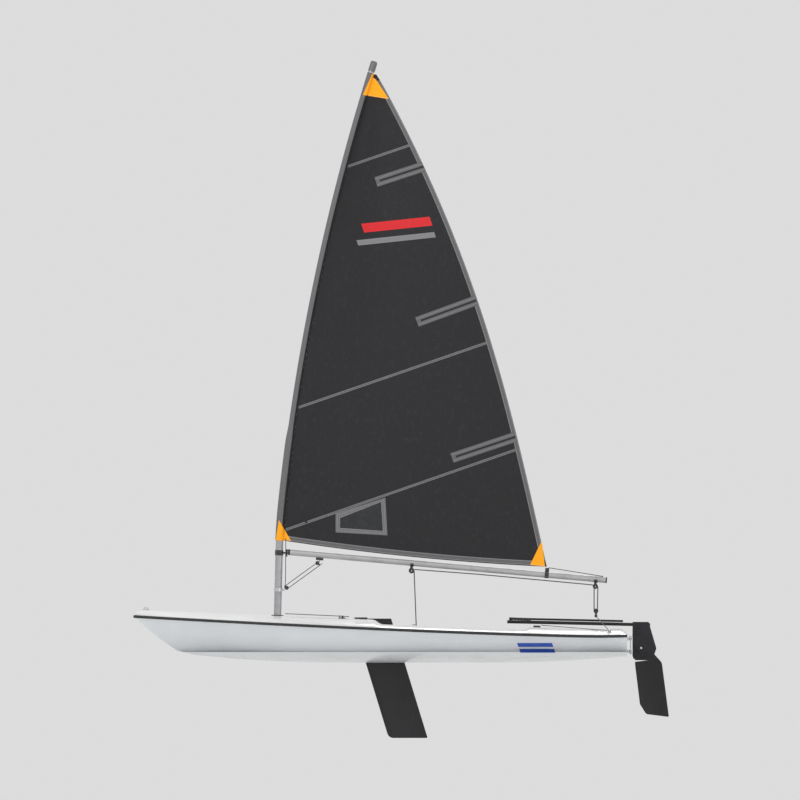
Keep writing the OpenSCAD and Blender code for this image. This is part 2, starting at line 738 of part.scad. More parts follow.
module on_boom(d) {
    p = boom_at(d);
    translate([p[0], 0, p[1]]) rotate([0, -boom_droop, 0]) children();
}

module mast_band(s, height) {
    on_mast(s) difference() {
        cylinder(r = mast_radius + joint_gap + band_t, h = height, center = true, $fn = round_fn);
        cylinder(r = mast_radius + joint_gap, h = height + 2, center = true, $fn = round_fn);
    }
}

pin_back = mast_radius + 32;
pin_head = 4;
pin_margin = 12;
lug_half = 8;
fork_play = 3;

module gooseneck() {
    ears = 56;
    color([0.15, 0.15, 0.16]) {
        difference() {
            union() {
                mast_band(boom_height, band_height);
                on_mast(boom_height) translate([-pin_back - pin_margin, -lug_t / 2, -lug_half])
                    cube([pin_back - mast_radius + pin_margin - 2, lug_t, 2 * lug_half]);
            }
            on_mast(boom_height) translate([-pin_back, 0, 0])
                cylinder(r = gooseneck_pin_r + running_fit, h = 60, center = true, $fn = round_fn);
        }
        on_mast(boom_height) translate([-pin_back, 0, -ears / 2 - pin_head]) union() {
            cylinder(r = gooseneck_pin_r, h = ears + 2 * pin_head, $fn = round_fn);
            for (z = [0, ears + pin_head]) translate([0, 0, z])
                cylinder(r = gooseneck_pin_r + 4, h = pin_head, $fn = round_fn);
        }
    }
}

boom_cap = 18;

module boom_end_caps() {
    fork = gooseneck_reach + mast_radius - pin_back + pin_margin;
    inner = boom_radius - tube_wall - joint_gap;
    color([0.12, 0.12, 0.12]) {
        difference() {
            on_boom(0) union() {
                rotate([0, 90, 0]) cylinder(r = boom_radius, h = boom_cap, $fn = round_fn);
                translate([-40, 0, 0]) rotate([0, 90, 0]) cylinder(r = inner, h = 41, $fn = round_fn);
                translate([0, -13, -24]) cube([fork, 26, 42]);
            }
            on_mast(boom_height) translate([-pin_back, 0, 0]) {
                translate([-pin_margin - fork_play, -20, -lug_half - fork_play])
                    cube([80, 40, 2 * (lug_half + fork_play)]);
                cylinder(r = gooseneck_pin_r + running_fit, h = 90, center = true, $fn = round_fn);
            }
        }
        on_boom(boom_length) rotate([0, -90, 0]) {
            translate([0, 0, joint_gap]) cylinder(r = boom_radius, h = 12, $fn = round_fn);
            translate([0, 0, -40]) cylinder(r = inner, h = 41, $fn = round_fn);
        }
    }
}

module boom() {
    color([0.6, 0.6, 0.6]) on_boom(joint_gap) rotate([0, -90, 0]) difference() {
        cylinder(r = boom_radius, h = boom_length - joint_gap, $fn = round_fn);
        translate([0, 0, -1]) cylinder(r = boom_radius - tube_wall, h = big + boom_length, $fn = round_fn);
    }
}

vang_on_mast = 222;
vang_on_boom = 255;
tang_reach = 24;

module vang_tang() {
    color([0.7, 0.71, 0.73]) union() {
        mast_band(vang_on_mast, 30);
        on_mast(vang_on_mast) translate([-mast_radius - tang_reach, -3, -9]) cube([tang_reach, 6, 18]);
    }
}

// Ends of the vang's purchase: on the mast's tang and under the boom
vang_low = mast_at(vang_on_mast) + [-mast_radius - tang_reach - 16, 16];
vang_high = boom_at(vang_on_boom) + [22, -boom_radius - 44];
vang_angle = atan2(vang_high[1] - vang_low[1], vang_low[0] - vang_high[0]);
vang_r = 15;

module vang_blocks() {
    color([0.12, 0.12, 0.12]) {
        translate([vang_low[0], 0, vang_low[1]]) rotate([0, 90 - vang_angle, 0]) pulley(vang_r, 24, 9);
        translate([vang_high[0], 0, vang_high[1]]) rotate([0, -90 - vang_angle, 0]) rotate([0, 0, 180])
            pulley(vang_r, 24, 9);
        on_boom(vang_on_boom) translate([-32, -6, -boom_radius - 20]) cube([64, 12, 19.5]);
    }
}

mid_block_on_boom = 1042;
end_block_on_boom = 2610;
saddle_t = 4;

// A saddle round the underside of the boom that a block hangs from
module boom_saddle(width) {
    difference() {
        rotate([0, 90, 0]) cylinder(r = boom_radius + saddle_t, h = width, center = true, $fn = round_fn);
        rotate([0, 90, 0]) cylinder(r = boom_radius + joint_gap, h = width + 2, center = true, $fn = round_fn);
        translate([-width, -boom_radius * 2, -boom_radius * 0.1]) cube([2 * width, 4 * boom_radius, 4 * boom_radius]);
    }
}

module hanging_block(d, r, w, neck) {
    color([0.12, 0.12, 0.12]) on_boom(d) union() {
        boom_saddle(30);
        translate([0, 0, -boom_radius - saddle_t - neck - r + 1]) rotate([0, boom_droop, 0]) pulley(r, w, neck);
    }
}

module mid_boom_block() {
    hanging_block(mid_block_on_boom, 22, 13, 14);
}

module boom_end_block() {
    hanging_block(end_block_on_boom, 20, 13, 12);
}

traveller_block_up = 76;
traveller_tiller_gap = 14;

module traveller_block() {
    p = boom_at(end_block_on_boom);
    z = tiller_top(p[0]) + traveller_tiller_gap;
    color([0.12, 0.12, 0.12]) translate([p[0], 0, z]) union() {
        translate([0, 0, 13]) cross_pin(13, 16);
        translate([-6, -8, 13]) cube([12, 16, 32]);
        translate([0, 0, traveller_block_up - 20]) mirror([0, 0, 1]) pulley(18, 13, 12);
    }
}

module clew_strap() {
    p = boom_at(clew_on_boom);
    w = 34;
    color([0.13, 0.13, 0.14]) on_boom(clew_on_boom) union() {
        difference() {
            rotate([0, 90, 0]) cylinder(r = boom_radius + 2.6, h = w, center = true, $fn = round_fn);
            rotate([0, 90, 0]) cylinder(r = boom_radius + joint_gap, h = w + 2, center = true, $fn = round_fn);
        }
        translate([-w / 2, -2, boom_radius + 1.5]) cube([w, 4, clew_gap - 12]);
    }
}

// ---------------------------------------------------------------- sail

head_height = mast_height - 18;
sleeve_gap = 1.6;
sleeve_t = 1.4;
sleeve_sides = 16;
sleeve_steps = 20;
leech_skew = 0.85;
head_width = 20;
clew = boom_at(clew_on_boom) + [0, boom_radius + clew_gap];
taper_length = 160;

// Inner radius of the luff sleeve, which narrows above the mast's collar
function sleeve_inner(s) = sleeve_gap + mix(mast_radius + collar_wall, upper_radius,
    ease((s - lower_top - collar_height) / taper_length));
function sleeve_outer(s) = sleeve_inner(s) + sleeve_t;

function luff_at(v) = mix(head_height, tack_height, v);
luff_gap = 1.5;
function luff_point(v) = let(s = luff_at(v)) mast_at(s) + mast_aft(s) * (sleeve_outer(s) + luff_gap);
head_back = luff_point(0) + [-head_width, 0];
function leech_point(v) = mix(head_back, clew, v) + [-roach * sin(180 * pow(v, leech_skew)), 0];

// A point of the sail: s runs from the luff to the leech, v from the head to the foot
function sail_xz(s, v) = mix(luff_point(v), leech_point(v), s)
    - [0, foot_round * 4 * s * (1 - s) * ease((v - 0.85) / 0.15)];
function sail_y(s, v) = -camber * 6.75 * s * (1 - s) * (1 - s) * mix(sin(180 * pow(v, 0.8)), 0.28, ease((v - 0.6) / 0.4));
function sail_point(s, v, off) = let(p = sail_xz(s, v)) [p[0], sail_y(s, v) + off, p[1]];

// A thin sheet on the sail between four corners, each given as [s, v], in rows by columns of cells
module cloth(corners, rows, columns, off, t) {
    wide = columns + 1;
    layer = wide * (rows + 1);
    function at(i, j) = let(a = mix(corners[0], corners[1], j / columns), b = mix(corners[2], corners[3], j / columns))
        mix(a, b, i / rows);
    function id(side, i, j) = side * layer + i * wide + j;
    points = [for (side = [0, 1], i = [0:rows], j = [0:columns])
        let(p = at(i, j)) sail_point(p[0], p[1], off + (side - 0.5) * t)];
    faces = [
        for (i = [0:rows - 1], j = [0:columns - 1])
            each quad(id(0, i, j), id(0, i, j + 1), id(0, i + 1, j + 1), id(0, i + 1, j)),
        for (i = [0:rows - 1], j = [0:columns - 1])
            each quad(id(1, i, j), id(1, i + 1, j), id(1, i + 1, j + 1), id(1, i, j + 1)),
        for (i = [0:rows - 1]) each quad(id(0, i, 0), id(0, i + 1, 0), id(1, i + 1, 0), id(1, i, 0)),
        for (i = [0:rows - 1])
            each quad(id(0, i + 1, columns), id(0, i, columns), id(1, i, columns), id(1, i + 1, columns)),
        for (j = [0:columns - 1]) each quad(id(0, 0, j + 1), id(0, 0, j), id(1, 0, j), id(1, 0, j + 1)),
        for (j = [0:columns - 1])
            each quad(id(0, rows, j), id(0, rows, j + 1), id(1, rows, j + 1), id(1, rows, j))];
    polyhedron(points, [for (f = faces) reversed(f)], convexity = 6);
}

whole_sail = [[0, 0], [1, 0], [0, 1], [1, 1]];
window_corners = [[0.22, 0.933], [0.405, 0.891], [0.22, 0.967], [0.405, 0.963]];

module window_column(grow) {
    p = [for (k = [0, 1, 3, 2]) sail_xz(window_corners[k][0], window_corners[k][1])];
    middle = (p[0] + p[1] + p[2] + p[3]) / 4;
    side_plate([for (q = p) q + unit(q - middle) * grow], big);
}

module sail() {
    color([0.1, 0.1, 0.11]) difference() {
        cloth(whole_sail, 20, 10, 0, sail_t);
        window_column(0);
    }
}

module sail_window() {
    margin = 0.02;
    c = window_corners;
    around = [c[0] + [-margin, -margin], c[1] + [margin, -margin], c[2] + [-margin, margin], c[3] + [margin, margin]];
    color([0.6, 0.65, 0.7]) intersection() {
        cloth(around, 3, 3, 0, sail_t / 2);
        window_column(-1);
    }
}

// Patches stand a little off both faces of the sail
patch_off = sail_t / 2 + patch_t / 2 + 1.5;
// The corner patches lie across the sail's tightest curves
patch_clear = 5.5;

module corner_patches() {
    head = [[0.02, 0.006], [0.98, 0.006], [0.02, 0.048], [0.98, 0.055]];
    tack = [[0.004, 0.955], [0.008, 0.955], [0.004, 0.994], [0.06, 0.99]];
    clew_patch = [[0.985, 0.95], [0.99, 0.95], [0.94, 0.99], [0.992, 0.99]];
    color([1, 0.66, 0.06]) for (side = [-1, 1], corners = [head, tack, clew_patch])
        cloth(corners, 3, 3, side * (patch_off + patch_clear), patch_t);
}

pocket_half = 0.009;
// Inner and outer end of each batten pocket, as [s, v]
pockets = [[[0.373, 0.230], [0.985, 0.188]], [[0.609, 0.5155], [0.985, 0.459]], [[0.697, 0.792], [0.985, 0.734]]];

module batten_pockets() {
    half = [0, pocket_half];
    color([0.38, 0.38, 0.4]) for (p = pockets)
        cloth([p[0] - half, p[1] - half, p[0] + half, p[1] + half], 1, 6, patch_off, patch_t);
}

sleeve_marks = [for (i = [0:sleeve_steps]) mix(tack_height, mast_height - 12, i / sleeve_steps)];

module luff_sleeve() {
    color([0.38, 0.38, 0.4]) tube_along(sleeve_marks, [for (m = sleeve_marks) sleeve_outer(m)],
        [for (m = sleeve_marks) sleeve_inner(m)], sleeve_sides);
}

// ---------------------------------------------------------------- daggerboard

nose_share = 0.3;
tail_power = 1.7;
tail_edge = 0.06;

// Half thickness of a foil at a share of its width from the front, for a thickness of 1
function foil_half(s) = 0.5 * (s < nose_share ? sqrt(max(0, 1 - pow(1 - s / nose_share, 2)))
    : 1 - (1 - tail_edge) * pow((s - nose_share) / (1 - nose_share), tail_power));

// A foil's outline with its front towards +X
function foil(chord, t) =
    let(shares = [each [for (i = [0:6]) nose_share * (1 - cos(15 * i))], each [for (i = [1:6]) mix(nose_share, 1, i / 6)]])
    [each [for (s = shares) [chord * (0.5 - s), t * foil_half(s)]],
        each [for (i = [len(shares) - 1:-1:1]) [chord * (0.5 - shares[i]), -t * foil_half(shares[i])]]];

board_top_z = deck_top(cockpit_front + front_step, 0) + 8;
board_level = board_chord / 2 / cos(board_rake);
tip_round = 55;

module daggerboard() {
    function edge(z, side) = [board_x + z * tan(board_rake) + side * board_level, z];
    profile = rounded([edge(board_top_z, 1), edge(board_top_z, -1), edge(-board_depth, -1), edge(-board_depth, 1)],
        [6, 6, 8, tip_round]);
    color([0.12, 0.12, 0.13]) intersection() {
        raked() translate([0, 0, -big / 2]) linear_extrude(big) polygon(foil(board_chord, board_t));
        side_plate(profile, big);
    }
}

stop_length = 110;
stop_height = 10;

module board_stop() {
    w = case_width / 2 + 8;
    front = board_x + board_top_z * tan(board_rake) + board_level - 20;
    color([0.12, 0.12, 0.12]) translate([0, 0, board_top_z + joint_gap]) linear_extrude(stop_height)
        polygon(rounded([[front, w], [front - stop_length, w], [front - stop_length, -w], [front, -w]], [12, 12, 12, 12]));
}

// ---------------------------------------------------------------- rudder

pintle_x = transom_x - pintle_gap;
pintle_r = pintle_d / 2;
gudgeon_height = 26;
gudgeon_up = [112, 6];
eye_wall = 5;
cheek_gap = 2;
head_front = pintle_x - 17;
head_top = 256;
head_bottom = -62;
head_length = 138;
blade_bolt = [head_front - 74, 34];
bolt_r = blade_bolt_d / 2;

module at_pintle() {
    translate([pintle_x, 0, 0]) children();
}

module rudder_gudgeons() {
    reach = pintle_gap;
    color([0.7, 0.71, 0.73]) for (z = gudgeon_up) difference() {
        union() {
            translate([transom_x - joint_gap - 4, -24, z - gudgeon_height / 2]) cube([4, 48, gudgeon_height]);
            translate([pintle_x, -4, z - gudgeon_height / 2]) cube([reach - joint_gap - 2, 8, gudgeon_height]);
            at_pintle() translate([0, 0, z]) cylinder(r = pintle_r + running_fit + eye_wall, h = gudgeon_height,
                center = true, $fn = round_fn);
        }
        at_pintle() translate([0, 0, z]) cylinder(r = pintle_r + running_fit, h = 60, center = true, $fn = round_fn);
    }
}

pintle_strap_t = 8;
pintle_strap_gap = 5;

// One rod through both gudgeons, held by straps above the upper one and below the lower one
module pintles() {
    over = gudgeon_height / 2 + pintle_strap_gap;
    low = gudgeon_up[1] - over - pintle_strap_t;
    high = gudgeon_up[0] + over + pintle_strap_t;
    color([0.75, 0.76, 0.78]) union() {
        at_pintle() translate([0, 0, low]) cylinder(r = pintle_r, h = high - low, $fn = round_fn);
        for (z = [low, high - pintle_strap_t]) {
            at_pintle() translate([0, 0, z]) cylinder(r = pintle_r + 5, h = pintle_strap_t, $fn = round_fn);
            translate([head_front + joint_gap, -7, z]) cube([pintle_x - head_front, 14, pintle_strap_t]);
        }
    }
}

head_width_y = blade_t + 2 * cheek_gap + 2 * cheek_t;
spine = 10;

// Two cheeks round the blade, joined along their top
module rudder_head() {
    back = head_front - head_length;
    cheek = rounded([[head_front, head_top], [back, head_top], [back - 66, 30], [back - 44, head_bottom + 30],
        [head_front - 10, head_bottom], [head_front, head_bottom + 30]], [8, 8, 24, 30, 12, 12]);
    slot_top = blade_bolt[1] + blade_head_r + 12;
    // Room for the blade's back edge when it is kicked up, measured from its bolt
    kick_room = [[5, blade_head_r], [5, blade_head_r + 12], [-120, 145], [-120, blade_head_r]];
    color([0.2, 0.2, 0.21]) difference() {
        side_plate(cheek, head_width_y);
        translate([back - 200, -blade_t / 2 - cheek_gap, -big + slot_top])
            cube([head_front - back + 200 - spine, blade_t + 2 * cheek_gap, big]);
        translate([head_front - spine - 1, -blade_t / 2 - cheek_gap, -big + head_bottom + 60])
            cube([spine + 2, blade_t + 2 * cheek_gap, big]);
        translate([blade_bolt[0], 0, blade_bolt[1]]) {
            cross_pin(bolt_r + running_fit, 80);
            side_plate(kick_room, blade_t + 2 * cheek_gap);
        }
        tiller_rod(joint_gap);
    }
}

module blade_bolt() {
    color([0.75, 0.76, 0.78]) translate([blade_bolt[0], 0, blade_bolt[1]]) {
        cross_pin(bolt_r, head_width_y + 6);
        for (side = [-1, 1]) translate([0, side * (head_width_y / 2 + 3.6), 0]) cross_pin(bolt_r + 4, 6);
    }
}

blade_head_r = 56;
tip_sweep = 58;

// The blade's round top turns between the cheeks, and its fin leans back to the tip
module rudder_blade() {
    front = blade_bolt[0] + blade_head_r;
    low = -rudder_depth;
    profile = rounded([[front - 2, blade_bolt[1]], [blade_bolt[0] - blade_head_r, blade_bolt[1] + 10],
        [front - blade_chord + 8, -90], [front - blade_chord - tip_sweep + 6, low],
        [front - tip_sweep - 40, low + 24], [front - tip_sweep + 14, low + 110], [front - 4, -120]],
        [2, 8, 60, 8, 30, 60, 60]);
    lens = foil(blade_chord, blade_t);
    color([0.12, 0.12, 0.13]) difference() {
        intersection() {
            union() {
                side_plate(profile, blade_t);
                translate([blade_bolt[0], 0, blade_bolt[1]]) cross_pin(blade_head_r, blade_t);
            }
            union() {
                translate([blade_bolt[0] - 150, -blade_t / 2, -70]) cube([300, blade_t, 300]);
                translate([front - blade_chord / 2, 0, -69]) rotate([0, fin_lean, 0]) translate([0, 0, -big])
                    linear_extrude(big) polygon(lens);
            }
        }
        translate([blade_bolt[0], 0, blade_bolt[1]]) cross_pin(bolt_r + running_fit, 80);
    }
}

fin_lean = 7;
tiller_drop = 1.25;
tiller_back = head_front - head_length - 12;
tiller_back_z = 231;

function tiller_z(x) = tiller_back_z + (x - tiller_back) * tan(tiller_drop);
extension_up = tiller_d / 2 + extension_d / 2 + 4;
function tiller_top(x) = tiller_z(x) + extension_up + extension_d / 2 + 2;

module along_tiller() {
    translate([tiller_back, 0, tiller_back_z]) rotate([0, 90 - tiller_drop, 0]) children();
}

module tiller_rod(grow) {
    along_tiller() translate([0, 0, -grow]) cylinder(r = tiller_d / 2 + grow, h = tiller_length + 2 * grow, $fn = round_fn);
}

module tiller() {
    color([0.14, 0.14, 0.15]) tiller_rod(0);
}

module tiller_extension() {
    front = tiller_length - 24;
    color([0.14, 0.14, 0.15]) union() {
        along_tiller() translate([-extension_up, 0, front - extension_length])
            cylinder(r = extension_d / 2, h = extension_length, $fn = round_fn);
        along_tiller() translate([-extension_up, 0, front - 16]) cylinder(r = extension_d / 2 + 2, h = 24, $fn = round_fn);
        along_tiller() translate([-extension_up, -5, front - 12]) cube([extension_up - tiller_d / 2 - joint_gap, 10, 16]);
    }
}

hull_moulding();
deck_moulding();
cockpit_tub();
gunwale_strip();
daggerboard_case();
mainsheet_console();
mast_step();
bow_eye();
control_line_cleats();
ratchet_block();
hiking_strap();
strap_anchors();
traveller_fairleads();
traveller_cleat();
traveller_block();
rudder_gudgeons();
transom_bung();
lower_mast();
upper_mast();
mast_collar();
masthead_plug();
gooseneck();
boom();
boom_end_caps();
vang_tang();
vang_blocks();
mid_boom_block();
boom_end_block();
clew_strap();
luff_sleeve();
sail();
batten_pockets();
sail_window();
corner_patches();
daggerboard();
board_stop();
rudder_head();
pintles();
blade_bolt();
tiller();
tiller_extension();
rudder_blade();
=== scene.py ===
"""A 4.2 m single-handed dinghy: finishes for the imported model, its sewn sail, ropes and small trim."""

import json
import logging
import math
from dataclasses import dataclass, field
from enum import Enum
from typing import Callable, Iterable, Sequence, Union

import bpy
from mathutils import Matrix, Vector

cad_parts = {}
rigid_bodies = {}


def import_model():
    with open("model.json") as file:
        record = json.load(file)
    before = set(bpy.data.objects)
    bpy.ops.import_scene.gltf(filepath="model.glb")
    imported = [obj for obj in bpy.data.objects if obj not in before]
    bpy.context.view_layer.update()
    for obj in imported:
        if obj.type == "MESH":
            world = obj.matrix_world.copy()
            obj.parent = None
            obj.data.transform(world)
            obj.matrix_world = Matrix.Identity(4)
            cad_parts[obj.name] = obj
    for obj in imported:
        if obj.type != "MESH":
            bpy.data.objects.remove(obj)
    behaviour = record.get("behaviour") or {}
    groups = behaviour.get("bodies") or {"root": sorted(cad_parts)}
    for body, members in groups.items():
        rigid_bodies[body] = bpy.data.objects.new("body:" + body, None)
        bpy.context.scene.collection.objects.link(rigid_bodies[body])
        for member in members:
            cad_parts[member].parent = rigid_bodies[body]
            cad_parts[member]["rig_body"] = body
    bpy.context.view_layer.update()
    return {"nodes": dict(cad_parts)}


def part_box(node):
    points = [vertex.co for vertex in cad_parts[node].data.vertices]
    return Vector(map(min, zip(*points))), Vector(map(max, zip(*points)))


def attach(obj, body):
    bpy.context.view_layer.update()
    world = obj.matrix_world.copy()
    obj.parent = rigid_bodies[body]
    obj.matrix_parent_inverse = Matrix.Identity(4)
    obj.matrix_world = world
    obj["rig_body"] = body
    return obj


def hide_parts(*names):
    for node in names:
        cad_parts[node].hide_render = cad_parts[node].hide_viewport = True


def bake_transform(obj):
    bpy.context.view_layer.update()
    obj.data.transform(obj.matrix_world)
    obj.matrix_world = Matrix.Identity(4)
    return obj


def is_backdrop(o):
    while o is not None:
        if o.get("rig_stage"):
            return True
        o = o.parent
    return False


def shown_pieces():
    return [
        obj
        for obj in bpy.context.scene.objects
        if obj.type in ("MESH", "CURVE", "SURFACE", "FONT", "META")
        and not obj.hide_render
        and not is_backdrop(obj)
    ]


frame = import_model()

log = logging.getLogger("dinghy")
Number = Union[int, float]
Colour = tuple[float, float, float]


class Body(str, Enum):
    """The bodies that added pieces ride on."""

    HULL = "hull"
    RIG = "rig"
    HEAD = "rudder_head"


# ------------------------------------------------------------------ shader layer


class Scalar:
    """One number socket, with the operators that a finish needs."""

    def __init__(self, paint: "Paint", socket: bpy.types.NodeSocket) -> None:
        """Wraps a socket of one material.

        Args:
            paint: the material it belongs to.
            socket: the output it stands for.
        """
        self.paint, self.socket = paint, socket

    def _math(self, operation: str, *values: Union["Scalar", Number]) -> "Scalar":
        """Adds one Math node.

        Args:
            operation: the node's operation.
            values: its inputs in order.
        Returns:
            The result as a Scalar.
        """
        inputs = {i: v for i, v in enumerate(values)}
        return self.paint.number("ShaderNodeMath", {"operation": operation}, inputs, "Value")

    def __add__(self, other: Union["Scalar", Number]) -> "Scalar":
        """Sum.

        Args:
            other: what is added.
        Returns:
            The sum.
        """
        return self._math("ADD", self, other)

    __radd__ = __add__

    def __sub__(self, other: Union["Scalar", Number]) -> "Scalar":
        """Difference.

        Args:
            other: what is taken off.
        Returns:
            The difference.
        """
        return self._math("SUBTRACT", self, other)

    def __rsub__(self, other: Number) -> "Scalar":
        """Difference from a plain number.

        Args:
            other: the number this is taken from.
        Returns:
            The difference.
        """
        return self._math("SUBTRACT", other, self)

    def __mul__(self, other: Union["Scalar", Number]) -> "Scalar":
        """Product.

        Args:
            other: what it is multiplied by.
        Returns:
            The product.
        """
        return self._math("MULTIPLY", self, other)

    __rmul__ = __mul__

    def __truediv__(self, other: Union["Scalar", Number]) -> "Scalar":
        """Quotient.

        Args:
            other: what it is divided by.
        Returns:
            The quotient.
        """
        return self._math("DIVIDE", self, other)

    def __abs__(self) -> "Scalar":
        """Size without its sign.

        Returns:
            The size without its sign.
        """
        return self._math("ABSOLUTE", self)

    def sine(self) -> "Scalar":
        """Sine of an angle in radians.

        Returns:
            The sine, of an angle in radians.
        """
        return self._math("SINE", self)

    def fraction(self) -> "Scalar":
        """Part after the decimal point.

        Returns:
            The part after the point.
        """
        return self._math("FRACT", self)

    def larger(self, other: Union["Scalar", Number]) -> "Scalar":
        """The larger of two.

        Args:
            other: the value it is compared with.
        Returns:
            The larger of the two.
        """
        return self._math("MAXIMUM", self, other)

    def smaller(self, other: Union["Scalar", Number]) -> "Scalar":
        """The smaller of two.

        Args:
            other: the value it is compared with.
        Returns:
            The smaller of the two.
        """
        return self._math("MINIMUM", self, other)

    def step(self, low: float, high: float) -> "Scalar":
        """0 below low, 1 above high, smooth between.

        Args:
            low: where the rise starts.
            high: where it ends.
        Returns:
            A value from 0 to 1.
        """
        return self.paint.number(
            "ShaderNodeMapRange",
            {"interpolation_type": "SMOOTHSTEP"},
            {"Value": self, "From Min": low, "From Max": high, "To Min": 0.0, "To Max": 1.0},
            "Result",
        )

    def between(self, low: float, high: float, soft: float) -> "Scalar":
        """1 between two values, with soft edges inside them.

        Args:
            low: start of the band.
            high: end of the band.
            soft: width of its soft edges.
        Returns:
            One inside the band, 0 outside.
        """
        return self.step(low, low + soft) * (1 - self.step(high - soft, high))


class Paint:
    """One material, with one method that adds any node."""

    def __init__(self, name: str) -> None:
        """Starts a material from an empty tree and one Principled shader.

        Args:
            name: name of the material.
        """
        self.material = bpy.data.materials.new(name)
        self.material.use_nodes = True
        self.tree = self.material.node_tree
        self.tree.nodes.clear()
        self.shader = self.node("ShaderNodeBsdfPrincipled")
        output = self.node("ShaderNodeOutputMaterial")
        self.tree.links.new(self.shader.outputs[0], output.inputs["Surface"])

    def node(self, kind: str, settings: dict | None = None, inputs: dict | None = None) -> bpy.types.Node:
        """Adds a node.

        Args:
            kind: Blender's type name.
            settings: properties, set before the sockets; "stops" fills a colour ramp.
            inputs: values, sockets or Scalars by socket name or number.
        Returns:
            The node.
        """
        made = self.tree.nodes.new(kind)
        for key, value in (settings or {}).items():
            if key == "stops":
                for element, (place, colour) in zip(made.color_ramp.elements, value):
                    element.position, element.color = place, (*colour, 1.0)
            else:
                setattr(made, key, value)
        for key, value in (inputs or {}).items():
            self.feed(made.inputs[key], value)
        return made

    def feed(self, socket: bpy.types.NodeSocket, value: object) -> None:
        """Links or sets one input socket.

        Args:
            socket: the input.
            value: a number, a colour, a socket or a Scalar.
        """
        if isinstance(value, Scalar):
            value = value.socket
        if isinstance(value, bpy.types.NodeSocket):
            self.tree.links.new(value, socket)
        elif isinstance(value, tuple) and len(value) == 3 and socket.type == "RGBA":
            socket.default_value = (*value, 1.0)
        else:
            socket.default_value = value

    def number(self, kind: str, settings: dict, inputs: dict, output: str) -> Scalar:
        """Adds a node and returns one of its outputs as a Scalar.

        Args:
            kind: node type.
            settings: its properties.
            inputs: its inputs.
            output: the output wanted.
        Returns:
            The output as a Scalar.
        """
        return Scalar(self, self.node(kind, settings, inputs).outputs[output])

    def place(self) -> tuple[Scalar, Scalar, Scalar]:
        """Object coordinates as three Scalars, in metres.

        Returns:
            X, Y and Z in metres.
        """
        split = self.node("ShaderNodeSeparateXYZ", None, {0: self.coordinates()})
        return tuple(Scalar(self, split.outputs[i]) for i in range(3))

    def coordinates(self) -> bpy.types.NodeSocket:
        """The Object coordinate vector.

        Returns:
            The coordinate socket.
        """
        return self.node("ShaderNodeTexCoord").outputs["Object"]

    def cloth_place(self) -> tuple[Scalar, Scalar]:
        """The piece's own UV map.

        Returns:
            U and V of the UV map.
        """
        split = self.node("ShaderNodeSeparateXYZ", None, {0: self.node("ShaderNodeTexCoord").outputs["UV"]})
        return Scalar(self, split.outputs[0]), Scalar(self, split.outputs[1])

    def noise(self, size: float, detail: float = 3.0, stretch: Colour = (1.0, 1.0, 1.0)) -> Scalar:
        """Soft noise.

        Args:
            size: width of a patch in metres.
            detail: octaves.
            stretch: patch size along each axis, relative to size.
        Returns:
            The noise, about 0.3 to 0.7.
        """
        scaled = self.node(
            "ShaderNodeVectorMath",
            {"operation": "MULTIPLY"},
            {0: self.coordinates(), 1: tuple(1.0 / (size * s) for s in stretch)},
        )
        return self.number(
            "ShaderNodeTexNoise", {}, {"Vector": scaled.outputs[0], "Scale": 1.0, "Detail": detail}, "Fac"
        )

    def cells(self, size: float) -> Scalar:
        """Distance from the middle of the nearest of many small cells.

        Args:
            size: size of a cell in metres.
        Returns:
            The pattern as a Scalar.
        """
        scaled = self.node(
            "ShaderNodeVectorMath", {"operation": "MULTIPLY"}, {0: self.coordinates(), 1: (1 / size,) * 3}
        )
        return self.number("ShaderNodeTexVoronoi", {}, {"Vector": scaled.outputs[0], "Scale": 1.0}, "Distance")

    def blend(self, mask: Scalar, low: object, high: object) -> bpy.types.NodeSocket:
        """Mixes two colours.

        Args:
            mask: 0 for low, 1 for high.
            low: colour or socket.
            high: colour or socket.
        Returns:
            The mixed colour's socket.
        """
        mix = self.node("ShaderNodeMix", {"data_type": "RGBA"}, {"Factor": mask})
        self.feed(mix.inputs[6], low)
        self.feed(mix.inputs[7], high)
        return mix.outputs[2]

    def bump(self, height: Scalar, depth: float, strength: float = 1.0) -> None:
        """Feeds a height in units of depth metres to the shader's normal.

        Args:
            height: the height pattern.
            depth: how far 1 stands up, in metres.
            strength: how much of it shows.
        """
        node = self.node("ShaderNodeBump", None, {"Strength": strength, "Distance": depth, "Height": height})
        self.tree.links.new(node.outputs[0], self.shader.inputs["Normal"])

    def finish(self, **sockets: object) -> bpy.types.Material:
        """Sets the shader's sockets and returns the material.

        Args:
            sockets: a value for each socket, named with underscores for spaces.
        Returns:
            The finished material.
        """
        for key, value in sockets.items():
            self.feed(self.shader.inputs[key.replace("_", " ")], value)
        return self.material


ORANGE: Colour = (1.0, 0.38, 0.006)


def shade(colour: Colour, share: float) -> Colour:
    """A colour made lighter or darker.

    Args:
        colour: the colour.
        share: what it is multiplied by.
    Returns:
        The lighter or darker colour.
    """
    return tuple(min(1.0, c * share) for c in colour)


# ------------------------------------------------------------------ finishes


